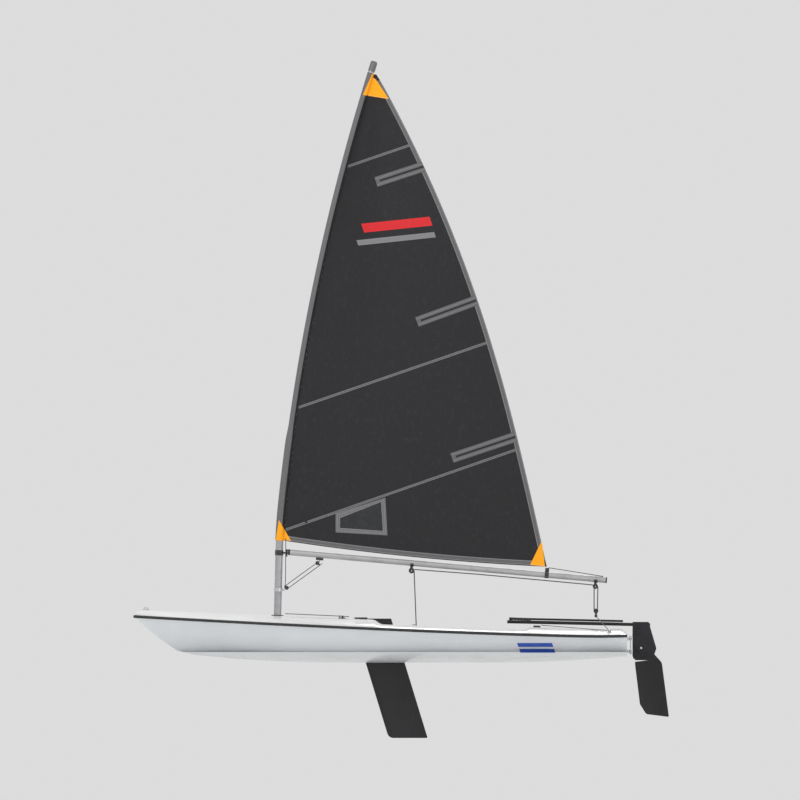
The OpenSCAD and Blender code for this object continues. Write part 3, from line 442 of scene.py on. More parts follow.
@dataclass(frozen=True)
class Gelcoat:
    """Polished gelcoat with faint mottling, hairline scuffs and a thin film of grime low down."""

    name: str
    colour: Colour
    badge: bool = False
    grip: bool = False

    def material(self) -> bpy.types.Material:
        """Builds the material.

        Returns:
            The material.
        """
        paint = Paint(self.name)
        x, y, z = paint.place()
        mottle = paint.noise(0.35).step(0.35, 0.65)
        scuff = paint.noise(0.004, 2.0, (14.0, 2.0, 1.0)).step(0.62, 0.72) * paint.noise(0.12).step(0.5, 0.6)
        grime = (1 - z.step(-0.07, 0.03)) * paint.noise(0.05, 5.0, (2.5, 1.0, 0.6)).step(0.42, 0.62)
        colour = paint.blend(mottle, shade(self.colour, 0.965), self.colour)
        colour = paint.blend(grime * 0.35, colour, (0.56, 0.57, 0.5))
        colour = paint.blend(scuff * 0.3, colour, (0.6, 0.6, 0.58))
        rough = 0.2 + mottle * 0.05 + grime * 0.2 + scuff * 0.25
        height = paint.noise(0.02, 1.0) * 0.25 - scuff * 0.15
        if self.badge:
            slant = x - z * 0.35
            wide = slant.between(-1.49, -1.19, 0.002)
            bars = wide * (z.between(-0.008, 0.028, 0.002) + z.between(0.042, 0.078, 0.002))
            colour = paint.blend(bars.smaller(1.0), colour, (0.02, 0.09, 0.45))
        if self.grip:
            side = abs(y)
            panels = (
                x.between(-1.16, 0.22, 0.006) * side.between(0.375, 0.6, 0.006)
                + x.between(-1.95, -1.3, 0.006) * side.between(0.12, 0.4, 0.006)
                + x.between(-1.15, -0.36, 0.006) * side.between(0.09, 0.215, 0.006) * (1 - z.step(0.03, 0.05))
            ).smaller(1.0)
            studs = 1 - paint.cells(0.006).step(0.15, 0.55)
            # painted shade: the grip panels are painted greyer between the raised studs
            colour = paint.blend(panels * (1 - studs) * 0.5, colour, (0.62, 0.62, 0.6))
            rough = rough + panels * 0.35
            height = height + panels * studs * 1.6
        paint.bump(height, 0.0006)
        return paint.finish(
            Base_Color=colour, Roughness=rough, Coat_Weight=0.35, Coat_Roughness=0.08, Specular_IOR_Level=0.5
        )


@dataclass(frozen=True)
class Moulded:
    """Moulded plastic or rubber with a fine spark texture and paler rubbed patches."""

    name: str
    colour: Colour
    roughness: float
    grain: float = 0.0012

    def material(self) -> bpy.types.Material:
        """Builds the material.

        Returns:
            The material.
        """
        paint = Paint(self.name)
        spark = paint.noise(self.grain, 2.0)
        rubbed = paint.noise(0.025, 4.0).step(0.52, 0.7)
        colour = paint.blend(rubbed * 0.6, self.colour, tuple(min(1.0, c + 0.045) for c in self.colour))
        paint.bump(spark + rubbed * 0.2, 0.0003, 0.8)
        return paint.finish(Base_Color=colour, Roughness=self.roughness + rubbed * 0.12 - spark * 0.06)


@dataclass(frozen=True)
class Tube:
    """Anodised tube with drawing marks along it, dull blotches and a few dark scratches."""

    name: str
    colour: Colour
    along: Colour

    def material(self) -> bpy.types.Material:
        """Builds the material.

        Returns:
            The material.
        """
        paint = Paint(self.name)
        drawn = paint.noise(0.0016, 2.0, self.along)
        blotch = paint.noise(0.09, 4.0).step(0.4, 0.7)
        scratch = paint.noise(0.003, 1.0, self.along).step(0.7, 0.76) * paint.noise(0.06).step(0.5, 0.6)
        colour = paint.blend(blotch, self.colour, shade(self.colour, 0.86))
        colour = paint.blend(scratch * 0.6, colour, (0.1, 0.1, 0.105))
        paint.bump(drawn - scratch * 0.8, 0.00025, 0.7)
        return paint.finish(Base_Color=colour, Roughness=0.34 + blotch * 0.14 + drawn * 0.08, Metallic=0.72)


@dataclass(frozen=True)
class Steel:
    """Satin stainless fittings with a fine brushed grain and tea staining in patches."""

    name: str

    def material(self) -> bpy.types.Material:
        """Builds the material.

        Returns:
            The material.
        """
        paint = Paint(self.name)
        grain = paint.noise(0.0006, 2.0, (1.0, 8.0, 1.0))
        stain = paint.noise(0.012, 4.0).step(0.6, 0.75)
        colour = paint.blend(stain * 0.4, (0.6, 0.61, 0.63), (0.42, 0.33, 0.24))
        paint.bump(grain, 0.00015, 0.6)
        return paint.finish(Base_Color=colour, Roughness=0.24 + grain * 0.12 + stain * 0.2, Metallic=1.0)


@dataclass(frozen=True)
class Foil:
    """Black foil paint with sanding marks and small pale chips."""

    name: str
    colour: Colour

    def material(self) -> bpy.types.Material:
        """Builds the material.

        Returns:
            The material.
        """
        paint = Paint(self.name)
        marks = paint.noise(0.002, 2.0, (1.0, 1.0, 18.0))
        haze = paint.noise(0.16, 3.0).step(0.35, 0.7)
        chips = paint.noise(0.006, 3.0).step(0.69, 0.73)
        colour = paint.blend(haze, self.colour, tuple(c + 0.003 for c in self.colour))
        colour = paint.blend(chips * 0.5, colour, (0.3, 0.3, 0.3))
        paint.bump(marks * 0.5 - chips, 0.0003, 0.8)
        return paint.finish(
            Base_Color=colour, Roughness=0.34 + haze * 0.06 + chips * 0.3, Specular_IOR_Level=0.3
        )


@dataclass(frozen=True)
class Cloth:
    """Woven sailcloth on a UV map in metres, with optional sewn borders.

    Size is the width and length of a strip whose long edges carry stitching; border is the width of a paler tape
    that frames it. Split is how far round from the front a sleeve's pale cloth reaches before the dark cloth behind.
    """

    name: str
    colour: Colour
    size: tuple[float, float] = (0.0, 0.0)
    border: float = 0.0
    border_colour: Colour = (0.13, 0.13, 0.13)
    thread: Colour = (0.5, 0.5, 0.5)
    ripstop: float = 0.012
    patched: bool = False
    split: float = 0.0
    behind: Colour = (0.017, 0.017, 0.019)

    def material(self) -> bpy.types.Material:
        """Builds the material.

        Returns:
            The material.
        """
        paint = Paint(self.name)
        u, v = paint.cloth_place()
        weave = (u * (2 * math.pi / 0.0016)).sine() * (v * (2 * math.pi / 0.0016)).sine()
        lines = (1 - abs((u / self.ripstop).fraction() - 0.5).step(0.03, 0.07)).larger(
            1 - abs((v / self.ripstop).fraction() - 0.5).step(0.03, 0.07)
        )
        creased = paint.noise(0.03, 5.0, (1.0, 1.0, 1.6)).step(0.52, 0.7)
        shine = paint.noise(0.25, 3.0).step(0.4, 0.62)
        colour = paint.blend(lines * 0.6, self.colour, tuple(min(1.0, c * 1.25 + 0.012) for c in self.colour))
        colour = paint.blend(creased * 0.3, colour, tuple(min(1.0, c * 1.1 + 0.02) for c in self.colour))
        height = weave * 0.3 + lines * 0.5 + creased * 0.7
        if self.size[0] > 0:
            wide, long = self.size
            from_edge = (v.smaller(wide - v)).smaller(u.smaller(long - u))
            side = v.smaller(wide - v)
            if self.border > 0:
                framed = 1 - from_edge.step(self.border, self.border + 0.0008)
                colour = paint.blend(framed, colour, self.border_colour)
                height = height + framed * 0.8
            stitch_place = self.border * 0.5 if self.border > 0 else 0.005
            zigzag = abs((u / 0.008).fraction() - 0.5) * 0.006 - 0.0015
            row = 1 - abs(side - stitch_place - zigzag).step(0.0005, 0.0011)
            colour = paint.blend(row * 0.85, colour, self.thread)
            height = height + row * 1.2
        if self.split > 0:
            colour = paint.blend(v.step(self.split, self.split + 0.0006), colour, self.behind)
        if self.patched:
            x, _, z = paint.place()
            tack = (1 - (x + (z - 1.122) * 0.1667).step(0.8585, 0.8595)) * (
                (x - (z - 0.9435) * 0.571).step(0.7565, 0.7575)
            )
            tack = tack * (1 - z.step(1.121, 1.122))
            head = (1 - (x + (z - 4.7345) * 0.4348).step(0.1445, 0.1455)) * (
                (z - x * 0.154).step(4.7122, 4.7132)
            )
            mask = tack.larger(head)
            colour = paint.blend(mask, colour, ORANGE)
            height = height + mask * 0.6
        paint.bump(height, 0.0004, 0.9)
        return paint.finish(
            Base_Color=colour,
            Roughness=0.5 + creased * 0.12 - shine * 0.1 + lines * 0.05,
            Specular_IOR_Level=0.22,
            Sheen_Weight=0.04,
            Sheen_Roughness=0.5,
        )


@dataclass(frozen=True)
class Film:
    """Dark smoked window film with a handling haze."""

    name: str
    colour: Colour
    alpha: float

    def material(self) -> bpy.types.Material:
        """Builds the material.

        Returns:
            The material.
        """
        paint = Paint(self.name)
        haze = paint.noise(0.05, 4.0).step(0.45, 0.7)
        fold = paint.noise(0.006, 2.0, (6.0, 1.0, 1.0)).step(0.66, 0.72)
        paint.bump(haze + fold, 0.0004, 0.5)
        return paint.finish(
            Base_Color=paint.blend(haze, self.colour, shade(self.colour, 1.5)),
            Roughness=0.08 + haze * 0.2,
            Alpha=self.alpha + haze * 0.05,
            Coat_Weight=0.25,
        )


@dataclass(frozen=True)
class Braid:
    """Braided rope on a UV map: u once round, v in metres along, a tracer of a second colour and painted shade in its
    grooves.
    """

    name: str
    colour: Colour
    tracer: Colour
    pitch: float = 0.02

    def material(self) -> bpy.types.Material:
        """Builds the material.

        Returns:
            The material.
        """
        paint = Paint(self.name)
        u, v = paint.cloth_place()
        turns = v / self.pitch
        left = abs(((u * 6 + turns * 6).fraction()) - 0.5) * 2
        right = abs(((u * 6 - turns * 6).fraction()) - 0.5) * 2
        strand = left.larger(right)
        fleck = ((u + turns).fraction()).between(0.42, 0.58, 0.02)
        wear = paint.noise(0.004, 3.0).step(0.5, 0.7)
        colour = paint.blend(fleck, self.colour, self.tracer)
        # painted shade: the grooves between the strands are painted darker, a shaded copy of the rope's own colour
        colour = paint.blend(strand.step(0.75, 1.0) * 0.5, colour, shade(self.colour, 0.35))
        colour = paint.blend(wear * 0.15, colour, (0.5, 0.5, 0.48))
        paint.bump(1 - strand.step(0.5, 1.0) + wear * 0.2, 0.0006, 1.0)
        return paint.finish(Base_Color=colour, Roughness=0.72 + wear * 0.1, Sheen_Weight=0.2)


@dataclass(frozen=True)
class Webbing:
    """Flat woven webbing with a herringbone face and two dashed rows of stitching along its length."""

    name: str
    colour: Colour

    def material(self) -> bpy.types.Material:
        """Builds the material.

        Returns:
            The material.
        """
        paint = Paint(self.name)
        x, y, z = paint.place()
        bone = ((x / 0.004) + abs((y / 0.012).fraction() - 0.5) * 3).fraction()
        rib = abs(bone - 0.5) * 2
        dash = (x / 0.005).fraction().between(0.1, 0.75, 0.1)
        row = (1 - abs(abs(y) - 0.0215).step(0.0005, 0.001)) * dash
        fuzz = paint.noise(0.01, 4.0).step(0.5, 0.7)
        colour = paint.blend(rib * 0.5, self.colour, tuple(c + 0.05 for c in self.colour))
        colour = paint.blend(row * 0.8, colour, (0.45, 0.45, 0.45))
        colour = paint.blend(fuzz * 0.2, colour, (0.2, 0.2, 0.2))
        paint.bump(rib + row * 0.6, 0.0006, 0.9)
        return paint.finish(Base_Color=colour, Roughness=0.78 + fuzz * 0.1)


@dataclass(frozen=True)
class Plain:
    """Pale matt floor with a breath of variation."""

    name: str
    colour: Colour

    def material(self) -> bpy.types.Material:
        """Builds the material.

        Returns:
            The material.
        """
        paint = Paint(self.name)
        tone = paint.noise(2.0, 2.0)
        return paint.finish(Base_Color=paint.blend(tone, shade(self.colour, 0.985), self.colour), Roughness=0.8)


UP_MAST: Colour = (1.0, 1.0, 60.0)
ALONG_BOOM: Colour = (60.0, 1.0, 1.0)

GEL_HULL = Gelcoat("gelcoat_hull", (0.74, 0.765, 0.785), badge=True)
GEL_DECK = Gelcoat("gelcoat_deck", (0.78, 0.785, 0.78), grip=True)
STRIP_RUBBER = Moulded("strip_rubber", (0.018, 0.018, 0.019), 0.62)
BLACK_PLASTIC = Moulded("black_plastic", (0.022, 0.022, 0.024), 0.42)
GREY_PLASTIC = Moulded("masthead_grey", (0.13, 0.13, 0.135), 0.45)
MAST_ALLOY = Tube("mast_alloy", (0.42, 0.42, 0.44), UP_MAST)
BOOM_ALLOY = Tube("boom_alloy", (0.46, 0.46, 0.465), ALONG_BOOM)
BLACK_ALLOY = Tube("black_alloy", (0.03, 0.03, 0.033), ALONG_BOOM)
STEEL = Steel("satin_steel")
FOIL_BLACK = Foil("foil_black", (0.016, 0.016, 0.018))
DARK_CLOTH = Cloth("sailcloth_dark", (0.017, 0.017, 0.019))
SLEEVE_CLOTH = Cloth("sleeve_cloth", (0.13, 0.13, 0.135), patched=True, split=0.06)
WINDOW = Film("window_film", (0.010, 0.011, 0.013), 0.93)
STRAP = Webbing("strap_webbing", (0.02, 0.02, 0.022))
SHEET_ROPE = Braid("sheet_rope", (0.045, 0.045, 0.05), (0.35, 0.35, 0.36))
CONTROL_ROPE = Braid("control_rope", (0.03, 0.03, 0.034), (0.2, 0.035, 0.028), 0.02)

_made: dict[str, bpy.types.Material] = {}


def coat(piece: bpy.types.Object, finish: object) -> bpy.types.Object:
    """Gives a piece one finish all over.

    Args:
        piece: the mesh.
        finish: any of the finishes above.
    Returns:
        The piece.
    """
    if finish.name not in _made:
        _made[finish.name] = finish.material()
    piece.data.materials.clear()
    piece.data.materials.append(_made[finish.name])
    for polygon in piece.data.polygons:
        polygon.material_index = 0
    return piece


# ------------------------------------------------------------------ the bench


class Bench:
    """Hand tools: what every sub-assembly uses to make, finish and place a piece."""

    @staticmethod
    def pick(piece: bpy.types.Object) -> None:
        """Selects one piece alone and makes it active.

        Args:
            piece: the object.
        """
        bpy.ops.object.select_all(action="DESELECT")
        piece.select_set(True)
        bpy.context.view_layer.objects.active = piece

    @staticmethod
    def settle(piece: bpy.types.Object) -> bpy.types.Object:
        """Applies modifiers in order, then place, turn and scale, so that the object sits at the origin.

        Args:
            piece: the object.
        Returns:
            The same object.
        """
        Bench.pick(piece)
        for modifier in list(piece.modifiers):
            bpy.ops.object.modifier_apply(modifier=modifier.name)
        bpy.ops.object.transform_apply(location=True, rotation=True, scale=True)
        return piece

    @staticmethod
    def tidy(piece: bpy.types.Object, angle: float = 35.0, flip_check: bool = True) -> bpy.types.Object:
        """Merges doubles, turns faces outwards and shades smooth up to an angle in degrees.

        Args:
            piece: the object.
            angle: edges sharper than this, in degrees, stay crisp.
            flip_check: whether its faces are turned outward.
        Returns:
            The same object.
        """
        Bench.pick(piece)
        bpy.ops.object.mode_set(mode="EDIT")
        bpy.ops.mesh.select_all(action="SELECT")
        bpy.ops.mesh.remove_doubles(threshold=1e-6)
        if flip_check:
            bpy.ops.mesh.normals_make_consistent(inside=False)
        bpy.ops.object.mode_set(mode="OBJECT")
        bpy.ops.object.shade_smooth_by_angle(angle=math.radians(angle))
        return piece

    @staticmethod
    def rounded(piece: bpy.types.Object, width: float, segments: int = 2) -> None:
        """Adds a bevel on edges sharper than 35 degrees, to be applied by settle.

        Args:
            piece: the object.
            width: bevel width in metres.
            segments: facets across the bevel.
        """
        bevel = piece.modifiers.new("edge", "BEVEL")
        bevel.width, bevel.segments = width, segments
        bevel.limit_method, bevel.angle_limit = "ANGLE", math.radians(35)
        bevel.use_clamp_overlap = True

    @staticmethod
    def refined(node: str, name: str, bevel: float = 0.0, angle: float = 35.0) -> bpy.types.Object:
        """Copies a CAD node as a merged, smoothly shaded piece with eased edges, and hides the node.

        Args:
            node: the CAD node.
            name: the new piece's name.
            bevel: edge rounding in metres, 0 for none.
            angle: shading angle in degrees.
        Returns:
            The new piece, riding the node's body.
        """
        source = frame["nodes"][node]
        body = source["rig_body"]
        piece = bpy.data.objects.new(name, source.data.copy())
        bpy.context.scene.collection.objects.link(piece)
        for attribute in ("custom_normal", "sharp_edge", "sharp_face"):
            if attribute in piece.data.attributes:
                piece.data.attributes.remove(piece.data.attributes[attribute])
        Bench.tidy(piece, angle, flip_check=False)
        if bevel > 0:
            Bench.pick(piece)
            bpy.ops.object.mode_set(mode="EDIT")
            bpy.ops.mesh.select_all(action="SELECT")
            bpy.ops.mesh.dissolve_limited(angle_limit=math.radians(0.6))
            bpy.ops.object.mode_set(mode="OBJECT")
            Bench.rounded(piece, bevel)
            Bench.settle(piece)
            Bench.tidy(piece, angle, flip_check=False)
        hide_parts(node)
        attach(piece, body)
        return piece

    @staticmethod
    def disc(name: str, centre: Vector, axis: Vector, radius: float, depth: float, ease: float) -> bpy.types.Object:
        """A turned disc or rod with eased rims.

        Args:
            name: piece name.
            centre: its middle.
            axis: direction of its length.
            radius: radius in metres.
            depth: length in metres.
            ease: bevel of the rims.
        Returns:
            The piece, at the origin.
        """
        bpy.ops.object.select_all(action="DESELECT")
        bpy.ops.mesh.primitive_cylinder_add(vertices=32, radius=radius, depth=depth, location=centre)
        piece = bpy.context.active_object
        piece.name = name
        piece.rotation_mode = "QUATERNION"
        piece.rotation_quaternion = Vector(axis).to_track_quat("Z", "Y")
        Bench.rounded(piece, ease)
        Bench.settle(piece)
        return Bench.tidy(piece)

    @staticmethod
    def block(name: str, low: Sequence[float], high: Sequence[float], ease: float) -> bpy.types.Object:
        """A bar between two corners with eased edges.

        Args:
            name: its name.
            low: lowest corner.
            high: highest corner.
            ease: rounding of its edges.
        Returns:
            The block.
        """
        bpy.ops.object.select_all(action="DESELECT")
        middle = (Vector(low) + Vector(high)) / 2
        bpy.ops.mesh.primitive_cube_add(size=1, location=middle)
        piece = bpy.context.active_object
        piece.name = name
        piece.scale = Vector(high) - Vector(low)
        bpy.ops.object.transform_apply(location=False, rotation=False, scale=True)
        Bench.rounded(piece, ease)
        Bench.settle(piece)
        return Bench.tidy(piece)

    @staticmethod
    def joined(name: str, parts: Sequence[bpy.types.Object]) -> bpy.types.Object:
        """Joins several pieces into one.

        Args:
            name: name of the joined piece.
            parts: the objects.
        Returns:
            The joined piece.
        """
        bpy.ops.object.select_all(action="DESELECT")
        for part in parts:
            part.select_set(True)
        bpy.context.view_layer.objects.active = parts[0]
        if len(parts) > 1:
            bpy.ops.object.join()
        parts[0].name = name
        return parts[0]

    @staticmethod
    def mesh(name: str, points: list, faces: list, uv: Callable[[int], tuple] | None = None) -> bpy.types.Object:
        """A mesh object from points and faces, with a UV per point where one is given.

        Args:
            name: piece name.
            points: its points.
            faces: its faces.
            uv: gives the UV of a point by its number.
        Returns:
            The object.
        """
        data = bpy.data.meshes.new(name)
        data.from_pydata([tuple(p) for p in points], [], faces)
        data.validate()
        if uv is not None:
            layer = data.uv_layers.new(name="cloth")
            for loop in data.loops:
                layer.data[loop.index].uv = uv(loop.vertex_index)
        piece = bpy.data.objects.new(name, data)
        bpy.context.scene.collection.objects.link(piece)
        return piece

    @staticmethod
    def screws(name: str, places: Iterable[tuple], radius: float, body: Body) -> None:
        """Countersunk cross-slot screws: one modelled, the rest copied.

        Args:
            name: piece name.
            places: (point, outward direction) of each head.
            radius: head radius in metres.
            body: the body they ride.
        """
        master = Bench.disc(name, Vector((0, 0, 0)), Vector((0, 0, 1)), radius, radius * 0.7, radius * 0.25)
        cuts = [
            Bench.block("slot", (-radius * 0.6, -radius * 0.11, 0), (radius * 0.6, radius * 0.11, radius), 0.00005),
            Bench.block("slot", (-radius * 0.11, -radius * 0.6, 0), (radius * 0.11, radius * 0.6, radius), 0.00005),
        ]
        for cut in cuts:
            modifier = master.modifiers.new("slot", "BOOLEAN")
            modifier.operation, modifier.object = "DIFFERENCE", cut
        Bench.settle(master)
        for cut in cuts:
            bpy.data.objects.remove(cut)
        Bench.repeated(name, master, places, body)

    @staticmethod
    def repeated(name: str, master: bpy.types.Object, places: Iterable[tuple], body: Body) -> None:
        """Copies one modelled head to every place and joins the copies.

        Args:
            name: piece name.
            master: the head, facing +Z at the origin, which is used up.
            places: (point, outward direction) of each copy.
            body: the body they ride.
        """
        copies = []
        for point, out in places:
            copy = bpy.data.objects.new(name, master.data.copy())
            bpy.context.scene.collection.objects.link(copy)
            turn = Vector(out).to_track_quat("Z", "Y").to_matrix().to_4x4()
            copy.data.transform(Matrix.Translation(Vector(point)) @ turn)
            copies.append(copy)
        bpy.data.objects.remove(master)
        piece = Bench.joined(name, copies)
        Bench.tidy(piece, flip_check=False)
        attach(coat(piece, STEEL), body.value)


# ------------------------------------------------------------------ the rig's lines


def ease(t: float) -> float:
    """Smooth step from 0 to 1.

    Args:
        t: a share, held to 0 to 1.
    Returns:
        The eased share.
    """
    t = max(0.0, min(1.0, t))
    return t * t * (3 - 2 * t)


def mix(a: float, b: float, t: float) -> float:
    """Value a share t of the way from a to b.

    Args:
        a: the value at 0.
        b: the value at 1.
        t: the share.
    Returns:
        The value between them.
    """
    return a + (b - a) * t


@dataclass(frozen=True)
class RigLines:
    """The bent mast, the drooping boom and the sail's surface, in metres and degrees."""

    foot: tuple[float, float] = (0.871, 0.3078)
    rake: float = 1.5
    straight: float = 0.56
    low_length: float = 0.4
    low_bend: float = 4.5
    high_bend: float = 11.3
    height: float = 4.712
    lower_radius: float = 0.03175
    upper_radius: float = 0.0254
    lower_top: float = 1.4672
    collar: tuple[float, float] = (0.002, 0.014)
    sleeve_gap: float = 0.0016
    sleeve_wall: float = 0.0014
    boom_front: tuple[float, float] = (0.7642, 0.8476)
    boom_droop: float = 5.03
    boom_radius: float = 0.0254
    clew_on_boom: float = 2.19
    clew_gap: float = 0.044
    tack: float = 0.64
    roach: float = 0.196
    foot_round: float = 0.03
    camber: float = 0.095

    @staticmethod
    def _bent(start: tuple[float, float], radius: float, a0: float, a1: float) -> tuple[float, float]:
        """End of an arc that starts leaning by a0 and ends leaning by a1.

        Args:
            start: where it starts.
            radius: its radius.
            a0: lean at its start, in degrees.
            a1: lean at its end, in degrees.
        Returns:
            Where it ends.
        """
        r0, r1 = math.radians(a0), math.radians(a1)
        return (
            start[0] + radius * (math.cos(r1) - math.cos(r0)),
            start[1] + radius * (math.sin(r1) - math.sin(r0)),
        )

    def lean(self, s: float) -> float:
        """The mast's lean in degrees at a distance above the deck.

        Args:
            s: distance up the mast.
        Returns:
            The lean in degrees.
        """
        high_from = self.straight + self.low_length
        if s <= self.straight:
            return self.rake
        if s <= high_from:
            return self.rake + self.low_bend * (s - self.straight) / self.low_length
        return self.rake + self.low_bend + self.high_bend * (s - high_from) / (self.height - high_from)

    def mast(self, s: float) -> tuple[float, float]:
        """Centre of the mast, as X and Z.

        Args:
            s: distance up the mast.
        Returns:
            X and Z.
        """
        lean = math.radians(self.rake)
        if s <= self.straight:
            return self.foot[0] - s * math.sin(lean), self.foot[1] + s * math.cos(lean)
        low = self.foot[0] - self.straight * math.sin(lean), self.foot[1] + self.straight * math.cos(lean)
        low_radius = self.low_length / math.radians(self.low_bend)
        high_from = self.straight + self.low_length
        if s <= high_from:
            return self._bent(low, low_radius, self.rake, self.lean(s))
        high = self._bent(low, low_radius, self.rake, self.rake + self.low_bend)
        radius = (self.height - high_from) / math.radians(self.high_bend)
        return self._bent(high, radius, self.rake + self.low_bend, self.lean(s))

    def on_mast(self, s: float, aft: float, side: float) -> Vector:
        """A point beside the mast: aft of its centre by one distance, to port by another.

        Args:
            s: distance up the mast.
            aft: distance aft of its centre.
            side: distance to port.
        Returns:
            The point.
        """
        x, z = self.mast(s)
        lean = math.radians(self.lean(s))
        return Vector((x - math.cos(lean) * aft, side, z - math.sin(lean) * aft))

    def sleeve_inner(self, s: float) -> float:
        """Inner radius of the luff sleeve.

        Args:
            s: distance up the mast.
        Returns:
            The radius in metres.
        """
        share = ease((s - self.lower_top - self.collar[1]) / 0.16)
        return self.sleeve_gap + mix(self.lower_radius + self.collar[0], self.upper_radius, share)

    def sleeve_outer(self, s: float) -> float:
        """Outer radius of the luff sleeve.

        Args:
            s: distance up the mast.
        Returns:
            The radius in metres.
        """
        return self.sleeve_inner(s) + self.sleeve_wall

    def boom(self, d: float, below: float = 0.0, side: float = 0.0) -> Vector:
        """A point at a distance along the boom, below its axis and to port.

        Args:
            d: distance aft along it.
            below: distance below its axis.
            side: distance to port.
        Returns:
            The point.
        """
        droop = math.radians(self.boom_droop)
        x = self.boom_front[0] - d * math.cos(droop) + below * math.sin(droop)
        z = self.boom_front[1] - d * math.sin(droop) - below * math.cos(droop)
        return Vector((x, side, z))

    def luff(self, v: float) -> tuple[float, float]:
        """The sail's front edge, from the head at 0 to the foot at 1.

        Args:
            v: share of the way down.
        Returns:
            X and Z.
        """
        s = mix(self.height - 0.018, self.tack, v)
        p = self.on_mast(s, self.sleeve_outer(s) + 0.0006, 0)
        return p.x, p.z

    def leech(self, v: float) -> tuple[float, float]:
        """The sail's back edge.

        Args:
            v: share of the way down.
        Returns:
            X and Z.
        """
        head = self.luff(0)
        clew = self.boom(self.clew_on_boom)
        x = mix(head[0] - 0.02, clew.x, v) - self.roach * math.sin(math.pi * max(0.0, v) ** 0.85)
        return x, mix(head[1], clew.z + self.boom_radius + self.clew_gap, v)

    def flat(self, s: float, v: float) -> tuple[float, float]:
        """Profile of the sail, s from luff to leech and v from head to foot.

        Args:
            s: share from luff to leech.
            v: share from head to foot.
        Returns:
            X and Z.
        """
        a, b = self.luff(v), self.leech(v)
        drop = self.foot_round * 4 * s * (1 - s) * ease((v - 0.85) / 0.15)
        return mix(a[0], b[0], s), mix(a[1], b[1], s) - drop

    def side(self, s: float, v: float) -> float:
        """Camber to starboard, as Y, with the creases of a sail under load.

        Args:
            s: share from luff to leech.
            v: share from head to foot.
        Returns:
            Y in metres.
        """
        fill = mix(math.sin(math.pi * max(0.0, v) ** 0.8), 0.28, ease((v - 0.6) / 0.4))
        y = -self.camber * 6.75 * s * (1 - s) ** 2 * fill
        edge = min(1.0, s * 9) * min(1.0, (1 - s) * 14) * min(1.0, v * 16) * min(1.0, (1 - v) * 22)
        luff_pull = 0.0035 * math.sin(v * 95 + 9 * s) * math.exp(-s * 7) * ease(v * 4)
        dx, dz = (1 - s) * 2.2, (1 - v) * 3.7
        reach = math.hypot(dx, dz) + 1e-6
        clew_pull = 0.004 * math.sin(math.atan2(dz, dx) * 17) * math.exp(-reach * 1.5)
        ax, az = s * 2.2, (1 - v) * 3.7
        near = math.hypot(ax, az) + 1e-6
        tack_pull = 0.003 * math.sin(math.atan2(az, ax) * 15) * math.exp(-near * 2.2)
        slow = 0.003 * math.sin(5.1 * s + 13 * v) * math.sin(7.3 * s - 6 * v)
        return y + edge * (luff_pull + clew_pull + tack_pull + slow)

    def find(self, x: float, z: float) -> tuple[float, float]:
        """The (s, v) of a point given in profile.

        Args:
            x: its X.
            z: its Z.
        Returns:
            The shares s and v.
        """
        low, high = -0.03, 1.03
        s = 0.5
        for _ in range(30):
            v = (low + high) / 2
            a, b = self.luff(v), self.leech(v)
            s = (a[0] - x) / max(1e-5, a[0] - b[0])
            s = max(-0.05, min(1.05, s))
            if self.flat(s, v)[1] > z:
                low = v
            else:
                high = v
        return s, (low + high) / 2


LINES = RigLines()


# ------------------------------------------------------------------ sub-assemblies


